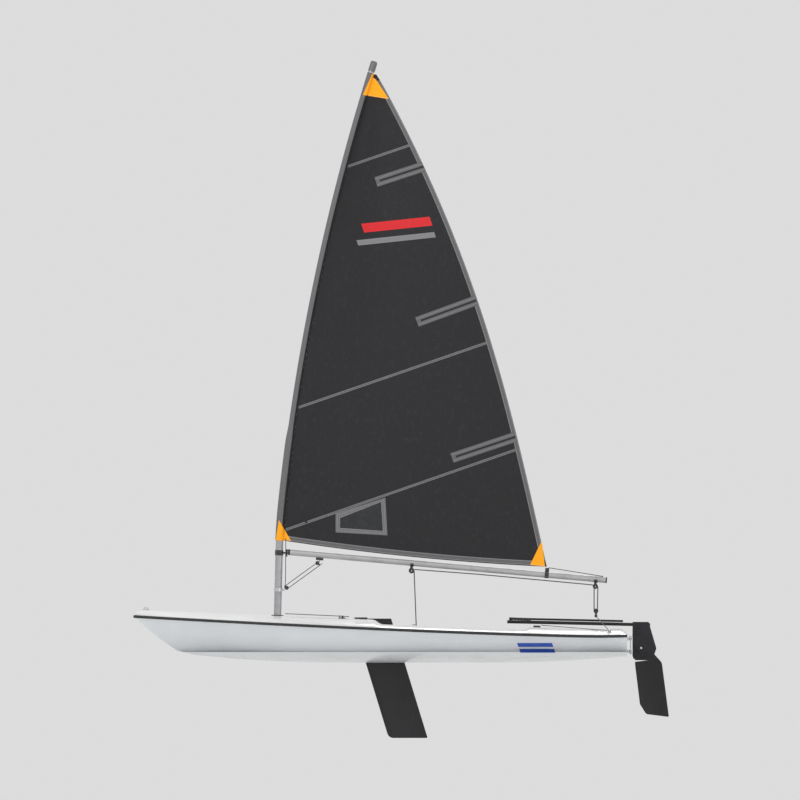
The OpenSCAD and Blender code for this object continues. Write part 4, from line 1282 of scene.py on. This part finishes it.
@dataclass
class HullAssembly:
    """Hull, deck, cockpit and everything bonded or screwed to them."""

    fitting_edge: float = 0.0008
    shell_angle: float = 32.0
    screw_side: float = 0.017
    anchor_side: float = 0.029

    def build(self) -> None:
        """Dresses the mouldings and fittings and adds their screws and trim."""
        self.shells()
        self.fittings()
        self.hardware()
        self.strap()

    def shells(self) -> None:
        """The mouldings, smoothed."""
        for node, finish, bevel in (
            ("hull_moulding", GEL_HULL, 0.0),
            ("deck_moulding", GEL_DECK, 0.0),
            ("cockpit_tub", GEL_DECK, 0.0),
            ("gunwale_strip", STRIP_RUBBER, 0.0),
            ("daggerboard_case", GEL_DECK, 0.0),
            ("mainsheet_console", GEL_DECK, 0.006),
        ):
            coat(Bench.refined(node, f"{node}_faired", bevel, self.shell_angle), finish)

    def fittings(self) -> None:
        """The small fittings, with eased edges."""
        for node, finish in (
            ("mast_step", BLACK_PLASTIC),
            ("bow_eye", STEEL),
            ("control_line_cleats", BLACK_PLASTIC),
            ("ratchet_block", BLACK_PLASTIC),
            ("strap_anchors", STEEL),
            ("traveller_fairleads", STEEL),
            ("traveller_cleat", BLACK_PLASTIC),
            ("traveller_block", BLACK_PLASTIC),
            ("rudder_gudgeons", STEEL),
            ("transom_bung", BLACK_PLASTIC),
        ):
            coat(Bench.refined(node, f"{node}_eased", self.fitting_edge), finish)

    def hardware(self) -> None:
        """Screws, the ratchet's cheek plates and the sheave pins."""
        up = Vector((0, 0, 1))
        wings = [v.co for v in frame["nodes"]["rudder_gudgeons"].data.vertices if abs(v.co.y) > 0.02]
        face = min(v.x for v in wings)
        middle = (min(v.z for v in wings) + max(v.z for v in wings)) / 2
        heights = [
            (min(v.z for v in group) + max(v.z for v in group)) / 2
            for group in ([v for v in wings if v.z < middle], [v for v in wings if v.z > middle])
        ]
        back = Vector((-1, 0, 0))
        plates = [(Vector((face, y * self.screw_side, z)), back) for z in heights for y in (-1, 1)]
        Bench.screws("gudgeon_screws", plates, 0.0042, Body.HULL)
        low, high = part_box("strap_anchors")
        feet = [v.co for v in frame["nodes"]["strap_anchors"].data.vertices if abs(v.co.y) > 0.025]
        anchors = []
        for x in (low.x + 0.006, high.x - 0.006):
            top = max(v.z for v in feet if abs(v.x - x) < 0.02)
            anchors.extend((Vector((x, y * self.anchor_side, top)), up) for y in (-1, 1))
        Bench.screws("anchor_screws", anchors, 0.003, Body.HULL)
        low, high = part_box("ratchet_block")
        middle = (low + high) / 2
        across = Vector((0, 1, 0))
        parts = [
            Bench.disc("cheek", Vector((middle.x, side * (high.y + 0.0012), high.z - 0.024)), across, r, t, e)
            for side in (-1, 1)
            for r, t, e in ((0.021, 0.0024, 0.0009), (0.006, 0.0052, 0.001))
        ]
        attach(coat(Bench.joined("ratchet_cheeks", parts), STEEL), Body.HULL.value)

    def strap(self) -> None:
        """The hiking strap, as a soft sagging band over its two anchors."""
        low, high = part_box("hiking_strap")
        bpy.ops.object.select_all(action="DESELECT")
        bpy.ops.mesh.primitive_grid_add(x_subdivisions=60, y_subdivisions=8, size=1, location=(0, 0, 0))
        strap = bpy.context.active_object
        strap.name = "hiking_strap_webbing"
        source = frame["nodes"]["hiking_strap"]
        tops = {}
        for vertex in source.data.vertices:
            key = round(vertex.co.x, 3)
            tops[key] = max(tops.get(key, -9), vertex.co.z)
        marks = sorted(tops.items())
        for vertex in strap.data.vertices:
            t, w = vertex.co.x + 0.5, vertex.co.y * 2
            x = mix(low.x + 0.001, high.x - 0.001, t)
            before = max((m for m in marks if m[0] <= x + 1e-3), default=marks[0])
            after = min((m for m in marks if m[0] >= x - 1e-3), default=marks[-1])
            span = max(1e-6, after[0] - before[0])
            z = mix(before[1], after[1], min(1.0, max(0.0, (x - before[0]) / span)))
            cup = 0.0012 * (w * w) + 0.0006 * math.sin(t * 40) * w
            vertex.co = (x, vertex.co.y * (high.y - low.y), z - 0.0016 - cup)
        wall = strap.modifiers.new("wall", "SOLIDIFY")
        wall.thickness, wall.offset = 0.0026, 0
        Bench.rounded(strap, 0.0006)
        Bench.settle(strap)
        Bench.tidy(strap)
        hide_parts("hiking_strap")
        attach(coat(strap, STRAP), Body.HULL.value)


@dataclass
class SparAssembly:
    """Mast, boom, their end fittings and the blocks that hang from them."""

    rivet_radius: float = 0.0024
    boom_saddles: tuple[float, float] = (1.042, 2.61)

    def build(self) -> None:
        """Dresses the spars and adds rivets and the boom blocks' steel cheek straps and pins."""
        for node, finish in (("lower_mast", MAST_ALLOY), ("upper_mast", MAST_ALLOY), ("boom", BOOM_ALLOY)):
            coat(Bench.refined(node, f"{node}_tube", 0.0, 40.0), finish)
        for node, finish in (
            ("mast_collar", BLACK_PLASTIC),
            ("masthead_plug", GREY_PLASTIC),
            ("gooseneck", BLACK_PLASTIC),
            ("boom_end_caps", BLACK_PLASTIC),
            ("vang_tang", STEEL),
            ("vang_blocks", BLACK_PLASTIC),
            ("mid_boom_block", BLACK_PLASTIC),
            ("boom_end_block", BLACK_PLASTIC),
            ("clew_strap", STRAP),
        ):
            coat(Bench.refined(node, f"{node}_eased", 0.0008), finish)
        self.rivets()
        self.cheeks()

    def rivets(self) -> None:
        """Pop rivets round the gooseneck band, the tang and the boom's saddles."""
        places = []
        for s, radius in ((0.524, 0.0362), (0.548, 0.0362), (0.222, 0.0362)):
            for angle in (55, 125, 235, 305):
                a = math.radians(angle)
                out = Vector((math.cos(a), math.sin(a), 0))
                centre = LINES.on_mast(s, 0, 0)
                places.append((centre + out * radius, out))
        for d in self.boom_saddles:
            for offset in (-0.009, 0.009):
                for side in (-1, 1):
                    places.append((LINES.boom(d + offset, 0.008, side * 0.0288), Vector((0, side, -0.25))))
        for d in (0.012, 0.03, 2.664, 2.68):
            for side in (-1, 1):
                places.append((LINES.boom(d, 0, side * 0.0256), Vector((0, side, 0))))
        master = Bench.disc(
            "rivets", Vector((0, 0, 0)), Vector((0, 0, 1)), self.rivet_radius, 0.0016, self.rivet_radius * 0.35
        )
        Bench.repeated("spar_rivets", master, places, Body.RIG)

    def cheeks(self) -> None:
        """Steel cheek straps and pins on the boom's two blocks."""
        parts = []
        for node, radius, drop in (("mid_boom_block", 0.022, 0.022), ("boom_end_block", 0.02, 0.02)):
            low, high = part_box(node)
            middle = Vector(((low.x + high.x) / 2, 0, low.z + drop))
            for side in (-1, 1):
                for r, t, e in ((radius * 0.72, 0.0016, 0.0006), (radius * 0.22, 0.0044, 0.0008)):
                    centre = middle + Vector((0, side * (0.0065 + t / 2), 0))
                    parts.append(Bench.disc("cheek", centre, Vector((0, 1, 0)), r, t, e))
        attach(coat(Bench.joined("boom_block_cheeks", parts), STEEL), Body.RIG.value)


@dataclass
class SailAssembly:
    """The sewn sail: cloth, sleeve, tapes, seams, batten pockets, patches and window."""

    thickness: float = 0.0012
    rows: int = 96
    columns: int = 44
    tape: float = 0.04
    seam: float = 0.024
    pocket: float = 0.086
    pocket_tape: float = 0.034
    lifts: tuple = (0.0011, 0.002, 0.0029, 0.0038)
    window: tuple = ((0.3655, 1.1645), (-0.034, 1.3005), (-0.051, 1.003), (0.3655, 1.0285))
    seams: tuple = (((0.2635, 4.131), (-0.306, 4.3265)), ((0.7055, 2.074), (-0.952, 2.6435)),
                    ((0.8075, 1.037), (-1.1985, 1.734)))
    battens: tuple = (((0.034, 3.995), (-0.408, 4.1395)), ((-0.3145, 2.805), (-0.85, 3.0005)),
                      ((-0.612, 1.649), (-1.1985, 1.8445)))
    bars: tuple = (((0.16, 3.64), (-0.42, 3.70), 0.075), ((0.20, 3.50), (-0.46, 3.57), 0.045))
    taped: tuple[float, float] = (0.012, 0.985)
    leech_marks: int = 26
    foot_marks: int = 16
    foot_line: float = 0.9985
    trims: list = field(default_factory=list)

    def build(self) -> None:
        sail = self.cloth()
        self.sleeve()
        self.borders()
        self.patches()
        self.pockets()
        self.stripes()
        pane = self.pane()

    def surface(self, x: float, z: float, off: float) -> Vector:
        """A point of the sail given in profile, moved to port by off.

        Args:
            x: its X.
            z: its Z.
            off: distance off the cloth.
        Returns:
            The point.
        """
        s, v = LINES.find(x, z)
        return Vector((x, LINES.side(min(1, max(0, s)), min(1, max(0, v))) + off, z))

    def panel(
        self, name: str, corners: Sequence[tuple], finish: Cloth, layer: int, sides: Sequence[int] = (1, -1)
    ) -> None:
        """A thin strip or patch sewn flat to the sail.

        Args:
            name: piece name.
            corners: four profile points: start low, end low, end high, start high.
            finish: its cloth.
            layer: how many thicknesses of trim lie under it.
            sides: 1 for the port face, -1 for the starboard face.
        """
        a, b, c, d = (Vector(p) for p in corners)
        long, wide = (b - a).length, ((d - a).length + (c - b).length) / 2
        columns, rows = max(3, round(long / 0.03)), max(2, round(wide / 0.024))
        points, faces, uv = [], [], []
        for side in sides:
            base = len(points)
            for i in range(rows + 1):
                for j in range(columns + 1):
                    t, w = j / columns, i / rows
                    p = a.lerp(b, t).lerp(d.lerp(c, t), w)
                    points.append(self.surface(p.x, p.y, side * self.lifts[layer]))
                    uv.append((t * long, w * wide))
            for i in range(rows):
                for j in range(columns):
                    k = base + i * (columns + 1) + j
                    face = (k, k + 1, k + columns + 2, k + columns + 1)
                    faces.append(face if side > 0 else face[::-1])
        piece = Bench.mesh(name, points, faces, lambda k: uv[k])
        self.wall(piece, 0.0007)
        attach(coat(piece, finish), Body.RIG.value)
        self.trims.append(piece)

    @staticmethod
    def wall(piece: bpy.types.Object, thickness: float) -> None:
        """Gives a surface its thickness and shades it smooth.

        Args:
            piece: the surface.
            thickness: its thickness in metres.
        """
        solid = piece.modifiers.new("wall", "SOLIDIFY")
        solid.thickness, solid.offset = thickness, 0
        Bench.settle(piece)
        Bench.pick(piece)
        bpy.ops.object.shade_smooth_by_angle(angle=math.radians(50))

    def cloth(self) -> bpy.types.Object:
        """The sail itself, cut out for its window.

        Returns:
            The cloth.
        """
        points, faces, uv = [], [], []
        for i in range(self.rows + 1):
            v = i / self.rows
            for j in range(self.columns + 1):
                s = j / self.columns
                x, z = LINES.flat(s, v)
                points.append((x, LINES.side(s, v), z))
                uv.append((x, z))
        for i in range(self.rows):
            for j in range(self.columns):
                k = i * (self.columns + 1) + j
                faces.append((k, k + self.columns + 1, k + self.columns + 2, k + 1))
        sail = Bench.mesh("sail_cloth", points, faces, lambda k: uv[k])
        solid = sail.modifiers.new("wall", "SOLIDIFY")
        solid.thickness, solid.offset = self.thickness, 0
        cutter = self.column("cutter", self.window, 0.4)
        cut = sail.modifiers.new("window", "BOOLEAN")
        cut.operation, cut.object, cut.solver = "DIFFERENCE", cutter, "EXACT"
        Bench.settle(sail)
        bpy.data.objects.remove(cutter)
        Bench.pick(sail)
        bpy.ops.object.shade_smooth_by_angle(angle=math.radians(50))
        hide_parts("sail")
        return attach(coat(sail, DARK_CLOTH), Body.RIG.value)

    @staticmethod
    def column(name: str, corners: Sequence[tuple], reach: float) -> bpy.types.Object:
        """A straight-sided cutter through the sail.

        Args:
            name: its name.
            corners: its profile.
            reach: how far it goes to each side.
        Returns:
            The cutter.
        """
        points = [(x, side * reach, z) for side in (-1, 1) for x, z in corners]
        faces = [(0, 1, 2, 3), (7, 6, 5, 4), *((i, i + 4, (i + 1) % 4 + 4, (i + 1) % 4) for i in range(4))]
        made = Bench.mesh(name, points, faces)
        Bench.tidy(made)
        return made

    def sleeve(self) -> None:
        """The luff sleeve: a stretched sock with fine puckers along its seam."""
        rows, sides = 150, 28
        points, faces, uv = [], [], []
        for wall in range(2):
            for i in range(rows + 1):
                s = mix(LINES.tack, LINES.height - 0.012, i / rows)
                lean = math.radians(LINES.lean(s))
                x, z = LINES.mast(s)
                for j in range(sides):
                    a = 2 * math.pi * j / sides
                    pucker = 0.0009 * (0.5 + 0.5 * math.sin(s * 120 + 3 * math.sin(a))) * (0.5 - 0.5 * math.cos(a))
                    r = (LINES.sleeve_inner(s) + 0.0002 if wall == 0 else LINES.sleeve_outer(s)) + pucker
                    points.append(
                        (x + math.cos(a) * math.cos(lean) * r, math.sin(a) * r, z + math.cos(a) * math.sin(lean) * r)
                    )
                    uv.append((s, min(a, 2 * math.pi - a) * 0.03))
        layer = (rows + 1) * sides
        for wall in range(2):
            for i in range(rows):
                for j in range(sides):
                    k, n = wall * layer + i * sides, (j + 1) % sides
                    face = (k + j, k + n, k + sides + n, k + sides + j)
                    faces.append(face if wall else face[::-1])
        for end in (0, rows * sides):
            for j in range(sides):
                n = (j + 1) % sides
                face = (end + j, end + n, layer + end + n, layer + end + j)
                faces.append(face if end == 0 else face[::-1])
        sleeve = Bench.mesh("luff_sleeve_cloth", points, faces, lambda k: uv[k])
        Bench.tidy(sleeve, 50)
        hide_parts("luff_sleeve")
        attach(coat(sleeve, SLEEVE_CLOTH), Body.RIG.value)

    def borders(self) -> None:
        """Leech and foot tapes and the cross seams."""
        leech = []
        for i in range(self.leech_marks + 1):
            x, z = LINES.leech(mix(*self.taped, i / self.leech_marks))
            leech.append(((x + self.tape, z - 0.004), (x + 0.001, z)))
        self.edge_tape("leech_tape", leech)
        foot = []
        for i in range(self.foot_marks + 1):
            x, z = LINES.flat(mix(*self.taped, i / self.foot_marks), self.foot_line)
            foot.append(((x, z + self.tape), (x, z)))
        self.edge_tape("foot_tape", foot)
        for number, (a, b) in enumerate(self.seams):
            a, b = Vector(a), Vector(b)
            a, b = self.trimmed(a, b, 0.15)
            across = Vector((0, self.seam / 2))
            finish = Cloth(
                f"seam_cloth_{number}", (0.1, 0.1, 0.105), ((b - a).length, self.seam)[::-1], thread=(0.42, 0.42, 0.42)
            )
            self.panel(f"cross_seam_{number}", (b - across, a - across, a + across, b + across), finish, 0)

    def trimmed(self, a: Vector, b: Vector, before: float) -> tuple[Vector, Vector]:
        """Cuts a line to lie between the sail's two edges.

        Args:
            a: its forward end.
            b: its aft end.
            before: share of its length that it may start ahead of a.
        Returns:
            Both ends.
        """
        inside = []
        for k in range(401):
            p = a.lerp(b, mix(-before, 1.15, k / 400))
            s, _ = LINES.find(p.x, p.y)
            if 0.004 < s < 0.992:
                inside.append(p)
        return inside[0], inside[-1]

    def edge_tape(self, name: str, pairs: Sequence[tuple]) -> None:
        """One tape along an edge of the sail, on both faces.

        Args:
            name: piece name.
            pairs: its inner and outer profile point at each mark along the edge.
        """
        points, faces, uv = [], [], []
        length = 0.0
        for side in (1, -1):
            base, length = len(points), 0.0
            for k, (near, far) in enumerate(pairs):
                if k:
                    length += (Vector(near) - Vector(pairs[k - 1][0])).length
                for w in range(4):
                    x, z = mix(near[0], far[0], w / 3), mix(near[1], far[1], w / 3)
                    points.append(self.surface(x, z, side * self.lifts[1]))
                    uv.append((length, w / 3 * self.tape))
            for k in range(len(pairs) - 1):
                for w in range(3):
                    q = base + k * 4 + w
                    face = (q, q + 1, q + 5, q + 4)
                    faces.append(face if side < 0 else face[::-1])
        piece = Bench.mesh(name, points, faces, lambda k: uv[k])
        self.wall(piece, 0.0007)
        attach(coat(piece, Cloth(f"{name}_cloth", (0.12, 0.12, 0.125), (self.tape, length))), Body.RIG.value)
        self.trims.append(piece)

    def patches(self) -> None:
        """Bright triangular patches at the head, tack and clew, on both faces."""
        tack = LINES.luff(1.0)
        shapes = {
            "head_patch": ((0.128, 4.732), (-0.0745, 4.7008), (0.036, 4.868), (0.076, 4.893)),
            "tack_patch": ((tack[0] + 0.001, tack[1] + 0.002), (0.7565, 0.9455), (0.808, 1.034), (0.8155, 1.047)),
            "clew_patch": ((-1.275, 0.7395), (-1.402, 0.7275), (-1.378, 0.926), (-1.368, 0.931)),
        }
        for name, corners in shapes.items():
            a, b, c, d = (Vector(p) for p in corners)
            size = (((d - a).length + (c - b).length) / 2, (b - a).length)
            self.panel(name, corners, Cloth(f"{name}_cloth", ORANGE, size, thread=(0.9, 0.75, 0.5)), 3)
        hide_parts("corner_patches")

    def pockets(self) -> None:
        """Batten pockets: dark cloth framed in grey tape, on the port face."""
        for number, (a, b) in enumerate(self.battens):
            a, b = Vector(a), Vector(b)
            across = (b - a).normalized().orthogonal() * self.pocket / 2
            if across.y < 0:
                across = -across
            low, high = (self.trimmed(a + side, b + side, 0.0)[1] for side in (-across, across))
            finish = Cloth(
                f"pocket_cloth_{number}",
                (0.018, 0.018, 0.02),
                (self.pocket, (b - a).length + 0.1),
                border=self.pocket_tape,
                border_colour=(0.125, 0.125, 0.13),
                thread=(0.45, 0.45, 0.45),
            )
            self.panel(f"batten_pocket_{number}", (a - across, low, high, a + across), finish, 2, (1,))
        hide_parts("batten_pockets")

    def stripes(self) -> None:
        """Two plain appliqué bars in red and grey on both faces."""
        for number, ((a, b, wide), colour) in enumerate(zip(self.bars, ((0.62, 0.02, 0.025), (0.2, 0.2, 0.21)))):
            a, b, across = Vector(a), Vector(b), Vector((wide * 0.35, wide))
            finish = Cloth(f"bar_cloth_{number}", colour, (wide, (b - a).length), thread=shade(colour, 1.5))
            self.panel(f"sail_bar_{number}", (b - across, a - across, a, b), finish, 0)

    def pane(self) -> bpy.types.Object:
        """The dark window and its grey frame.

        Returns:
            The window film.
        """
        middle = Vector((sum(p[0] for p in self.window) / 4, sum(p[1] for p in self.window) / 4))
        grown = [Vector(p) + (Vector(p) - middle).normalized() * 0.008 for p in self.window]
        points, faces, uv = [], [], []
        rows, columns = 10, 14
        order = (grown[3], grown[2], grown[1], grown[0])
        for i in range(rows + 1):
            for j in range(columns + 1):
                t, w = j / columns, i / rows
                p = order[0].lerp(order[1], t).lerp(order[3].lerp(order[2], t), w)
                points.append(self.surface(p.x, p.y, 0.0002))
                uv.append((p.x, p.y))
        for i in range(rows):
            for j in range(columns):
                k = i * (columns + 1) + j
                faces.append((k, k + 1, k + columns + 2, k + columns + 1))
        pane = Bench.mesh("window_film", points, faces, lambda k: uv[k])
        self.wall(pane, 0.0004)
        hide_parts("sail_window")
        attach(coat(pane, WINDOW), Body.RIG.value)
        reach_in, reach_out = 0.026, 0.012
        frame_wide = reach_in + reach_out
        corners = [Vector(p) for p in self.window]
        signs = [Vector((math.copysign(1, p.x - middle.x), math.copysign(1, p.y - middle.y))) for p in corners]
        for k in range(4):
            m = (k + 1) % 4
            a, b = corners[k] - signs[k] * reach_in, corners[m] - signs[m] * reach_in
            out_a, out_b = corners[k] + signs[k] * reach_out, corners[m] + signs[m] * reach_out
            finish = Cloth(f"window_tape_{k}", (0.15, 0.15, 0.155), (frame_wide, (b - a).length))
            self.panel(f"window_frame_{k}", (a, b, out_b, out_a), finish, 1)
        return pane


@dataclass
class FoilAssembly:
    """Daggerboard and its stop, and the whole rudder with its tiller."""

    rib_step: float = 0.0125
    ribs: int = 14

    def build(self) -> None:
        """Dresses the foils and the steering gear."""
        for node, finish, bevel in (
            ("daggerboard", FOIL_BLACK, 0.0),
            ("board_stop", STRIP_RUBBER, 0.002),
            ("rudder_blade", FOIL_BLACK, 0.0),
            ("rudder_head", BLACK_ALLOY, 0.0008),
            ("pintles", STEEL, 0.0005),
            ("blade_bolt", STEEL, 0.0006),
            ("tiller", BLACK_ALLOY, 0.001),
            ("tiller_extension", BLACK_ALLOY, 0.0006),
        ):
            coat(Bench.refined(node, f"{node}_faired", bevel, 38.0), finish)
        self.handles()

    def handles(self) -> None:
        """The extension's ribbed grip."""
        low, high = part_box("tiller_extension")
        axis = Vector((math.cos(math.radians(1.93)), 0, math.sin(math.radians(1.93))))
        start = Vector((high.x - 0.004, 0, high.z - 0.011))
        parts = []
        for k in range(self.ribs):
            centre = start - axis * (0.012 + k * self.rib_step)
            parts.append(Bench.disc("rib", centre, axis, 0.0113 if k % 2 else 0.0106, 0.0118, 0.0012))
        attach(coat(Bench.joined("extension_grip", parts), STRIP_RUBBER), Body.HEAD.value)


@dataclass
class RopeAssembly:
    """Every taut line of the running rigging."""

    sheet_radius: float = 0.0048
    control_radius: float = 0.0032

    def build(self) -> None:
        """Lays each line between the blocks it runs through."""
        end, mid = LINES.boom(2.61), LINES.boom(1.042)
        end_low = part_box("boom_end_block")[0].z + 0.02
        mid_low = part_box("mid_boom_block")[0].z + 0.022
        trav_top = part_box("traveller_block")[1].z - 0.012
        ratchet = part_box("ratchet_block")[1].z - 0.024
        spread = 0.016
        self.crossing("sheet_fall_fwd", (end.x + spread, 0.0, end_low), (end.x + spread, 0.0, trav_top))
        self.crossing("sheet_fall_aft", (end.x - spread, 0.0, end_low), (end.x - 0.012, 0.0, trav_top + 0.002))
        self.crossing("sheet_to_ratchet", (mid.x - 0.016, 0.0, mid_low), (-0.3085, 0.0, ratchet))
        run = [Vector((end.x + 0.016, 0.0, end_low + 0.012)), LINES.boom(2.5, 0.05), LINES.boom(1.6, 0.046),
               Vector((mid.x - 0.02, 0.0, mid_low + 0.012))]
        self.line("sheet_under_boom", run, self.sheet_radius, SHEET_ROPE, Body.RIG)
        self.traveller()
        self.rig_lines()
        self.deck_lines()

    def line(
        self, name: str, points: Sequence, radius: float, finish: Braid, body: Body | None, gap: float = 0.05
    ) -> bpy.types.Object:
        """A round rope along straight runs.

        Args:
            name: piece name.
            points: where it goes.
            radius: its radius in metres.
            finish: its braid.
            body: the body it rides, or None to leave it on no body.
            gap: the most that lies between two of its rings.
        Returns:
            The rope.
        """
        sides = 12
        marks = self.spaced([Vector(p) for p in points], gap)
        verts, faces, uv = [], [], []
        travelled = 0.0
        normal = None
        for i, p in enumerate(marks):
            ahead = (marks[min(i + 1, len(marks) - 1)] - marks[max(i - 1, 0)]).normalized()
            if normal is None:
                normal = ahead.orthogonal().normalized()
            normal = (normal - ahead * normal.dot(ahead)).normalized()
            other = ahead.cross(normal)
            if i:
                travelled += (p - marks[i - 1]).length
            for j in range(sides + 1):
                a = 2 * math.pi * j / sides
                verts.append(p + (normal * math.cos(a) + other * math.sin(a)) * radius)
                uv.append((j / sides, travelled))
        ring = sides + 1
        for i in range(len(marks) - 1):
            for j in range(sides):
                k = i * ring + j
                faces.append((k, k + 1, k + ring + 1, k + ring))
        faces.append(tuple(range(sides))[::-1])
        last = (len(marks) - 1) * ring
        faces.append(tuple(last + j for j in range(sides)))
        piece = Bench.mesh(name, verts, faces, lambda k: uv[k])
        Bench.tidy(piece, 60)
        coat(piece, finish)
        if body is not None:
            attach(piece, body.value)
        return piece

    @staticmethod
    def spaced(points: Sequence[Vector], gap: float) -> list[Vector]:
        """Spaces marks along the straight runs between corners.

        Args:
            points: the corners.
            gap: the most between two marks.
        Returns:
            The marks.
        """
        out = [points[0]]
        for a, b in zip(points, points[1:]):
            count = max(2, math.ceil((b - a).length / gap))
            out.extend(a.lerp(b, k / count) for k in range(1, count + 1))
        return out

    def crossing(self, name: str, top: Sequence[float], bottom: Sequence[float]) -> None:
        """A fall of the mainsheet between the boom and the hull, with rings close together, left on no body.

        Args:
            name: piece name.
            top: its end on the boom.
            bottom: its end on the hull.
        """
        rope = self.line(name, [top, bottom], self.sheet_radius, SHEET_ROPE, None, 0.008)
        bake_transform(rope)

    def traveller(self) -> None:
        """The traveller line: from its cleat to both fairleads and through the block over the tiller."""
        low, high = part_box("traveller_block")
        eye = Vector(((low.x + high.x) / 2, 0, low.z + 0.013))
        low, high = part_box("traveller_fairleads")
        lead = Vector(((low.x + high.x) / 2, high.y - 0.006, (low.z + high.z) / 2 + 0.002))
        low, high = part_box("traveller_cleat")
        jaw = Vector((low.x - 0.002, 0, high.z - 0.002))
        for side, name in ((1, "port"), (-1, "starboard")):
            point = Vector((lead.x, lead.y * side, lead.z))
            self.line(
                f"traveller_line_{name}", [eye + Vector((0, side * 0.012, 0)), point], 0.003, SHEET_ROPE, Body.HULL
            )
            self.line(
                f"traveller_tail_{name}",
                [point + Vector((0.004, 0, 0.003)), jaw + Vector((0, side * 0.008, 0.004))],
                0.003,
                SHEET_ROPE,
                Body.HULL,
            )

    def rig_lines(self) -> None:
        """Vang purchase, downhaul and outhaul, all on the rig."""
        low = Vector((0.802, 0, 0.546))
        high = Vector((0.5, 0, 0.765))
        for number, side in enumerate((-0.007, 0.007)):
            for lift in (-0.016, 0.016):
                shift = Vector((lift * 0.55, side, lift * 0.8))
                self.line(
                    f"vang_fall_{number}_{'low' if lift < 0 else 'high'}",
                    [low + shift, high + shift],
                    self.control_radius,
                    CONTROL_ROPE,
                    Body.RIG,
                )
        tack = LINES.on_mast(LINES.tack + 0.02, 0.052, 0.006)
        self.line(
            "downhaul",
            [tack, LINES.on_mast(0.3, 0.06, 0.010), LINES.on_mast(0.235, 0.055, 0.010)],
            self.control_radius,
            CONTROL_ROPE,
            Body.RIG,
        )
        clew = LINES.boom(LINES.clew_on_boom + 0.012, -0.062)
        self.line("outhaul", [clew, LINES.boom(2.67, -0.029)], self.control_radius, CONTROL_ROPE, Body.RIG)

    def deck_lines(self) -> None:
        """The two control lines from the mast's foot aft to their cleats."""
        low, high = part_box("control_line_cleats")
        for side in (-1, 1):
            y = side * (high.y - 0.018)
            front = Vector((0.805, side * 0.03, 0.326))
            back = Vector((high.x + 0.01, y, high.z - 0.006))
            tail = Vector((low.x - 0.03, y, high.z - 0.012))
            name = "port" if side > 0 else "starboard"
            self.line(f"control_line_{name}", [front, back, tail], self.control_radius, CONTROL_ROPE, Body.HULL)


@dataclass
class Studio:
    """Floor at the waterline, soft lights and the side-on camera."""

    centre: tuple[float, float] = (-0.17, 2.142)
    width: float = 6.8
    distance: float = 14.0

    def build(self) -> None:
        """Sets the stage."""
        bpy.ops.object.select_all(action="DESELECT")
        bpy.ops.mesh.primitive_plane_add(size=60, location=(0, 0, 0))
        floor = bpy.context.active_object
        floor.name = "floor"
        coat(floor, Plain("floor_pale", (0.86, 0.86, 0.86)))
        floor.visible_shadow = False
        floor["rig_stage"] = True
        data = bpy.data.cameras.new("camera")
        data.type, data.ortho_scale, data.clip_end = "ORTHO", self.width, 100
        camera = bpy.data.objects.new("camera", data)
        camera.location = (self.centre[0], self.distance, self.centre[1])
        camera.rotation_euler = (math.radians(90), 0, math.radians(180))
        bpy.context.scene.collection.objects.link(camera)
        bpy.context.scene.camera = camera
        world = bpy.data.worlds.new("studio")
        bpy.context.scene.world = world
        world.use_nodes = True
        world.node_tree.nodes["Background"].inputs[0].default_value = (1, 1, 1, 1)
        world.node_tree.nodes["Background"].inputs[1].default_value = 0.72
        bpy.context.scene.view_settings.view_transform = "Standard"
        self.lamp("key", (4.5, 7.5, 8.5), 4.0, 420)
        self.lamp("fill", (-6.0, 8.0, 3.0), 6.0, 90)
        self.lamp("low", (0.0, 9.0, -3.0), 5.0, 60)
        self.lamp("back", (-2.0, -8.0, 7.0), 4.0, 200)

    @staticmethod
    def lamp(name: str, place: tuple, size: float, power: float) -> None:
        """A square soft light aimed at the middle of the rig.

        Args:
            name: its name.
            place: where it stands.
            size: its width in metres.
            power: its power in watts.
        """
        data = bpy.data.lights.new(name, "AREA")
        data.size, data.energy = size, power
        lamp = bpy.data.objects.new(name, data)
        lamp.location = place
        lamp.rotation_mode = "QUATERNION"
        lamp.rotation_quaternion = (Vector((0, 0, 1.6)) - Vector(place)).to_track_quat("-Z", "Y")
        bpy.context.scene.collection.objects.link(lamp)


def main() -> None:
    """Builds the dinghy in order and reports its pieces."""
    logging.basicConfig(level=logging.INFO, format="%(name)s: %(message)s")
    for part in (Studio(), HullAssembly(), SparAssembly(), SailAssembly(), FoilAssembly(), RopeAssembly()):
        before = set(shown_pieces())
        part.build()
        for piece in sorted(set(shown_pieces()) - before, key=lambda o: o.name):
            log.info("%s: %d faces", piece.name, len(piece.data.polygons))


if __name__ == "__main__":
    main()
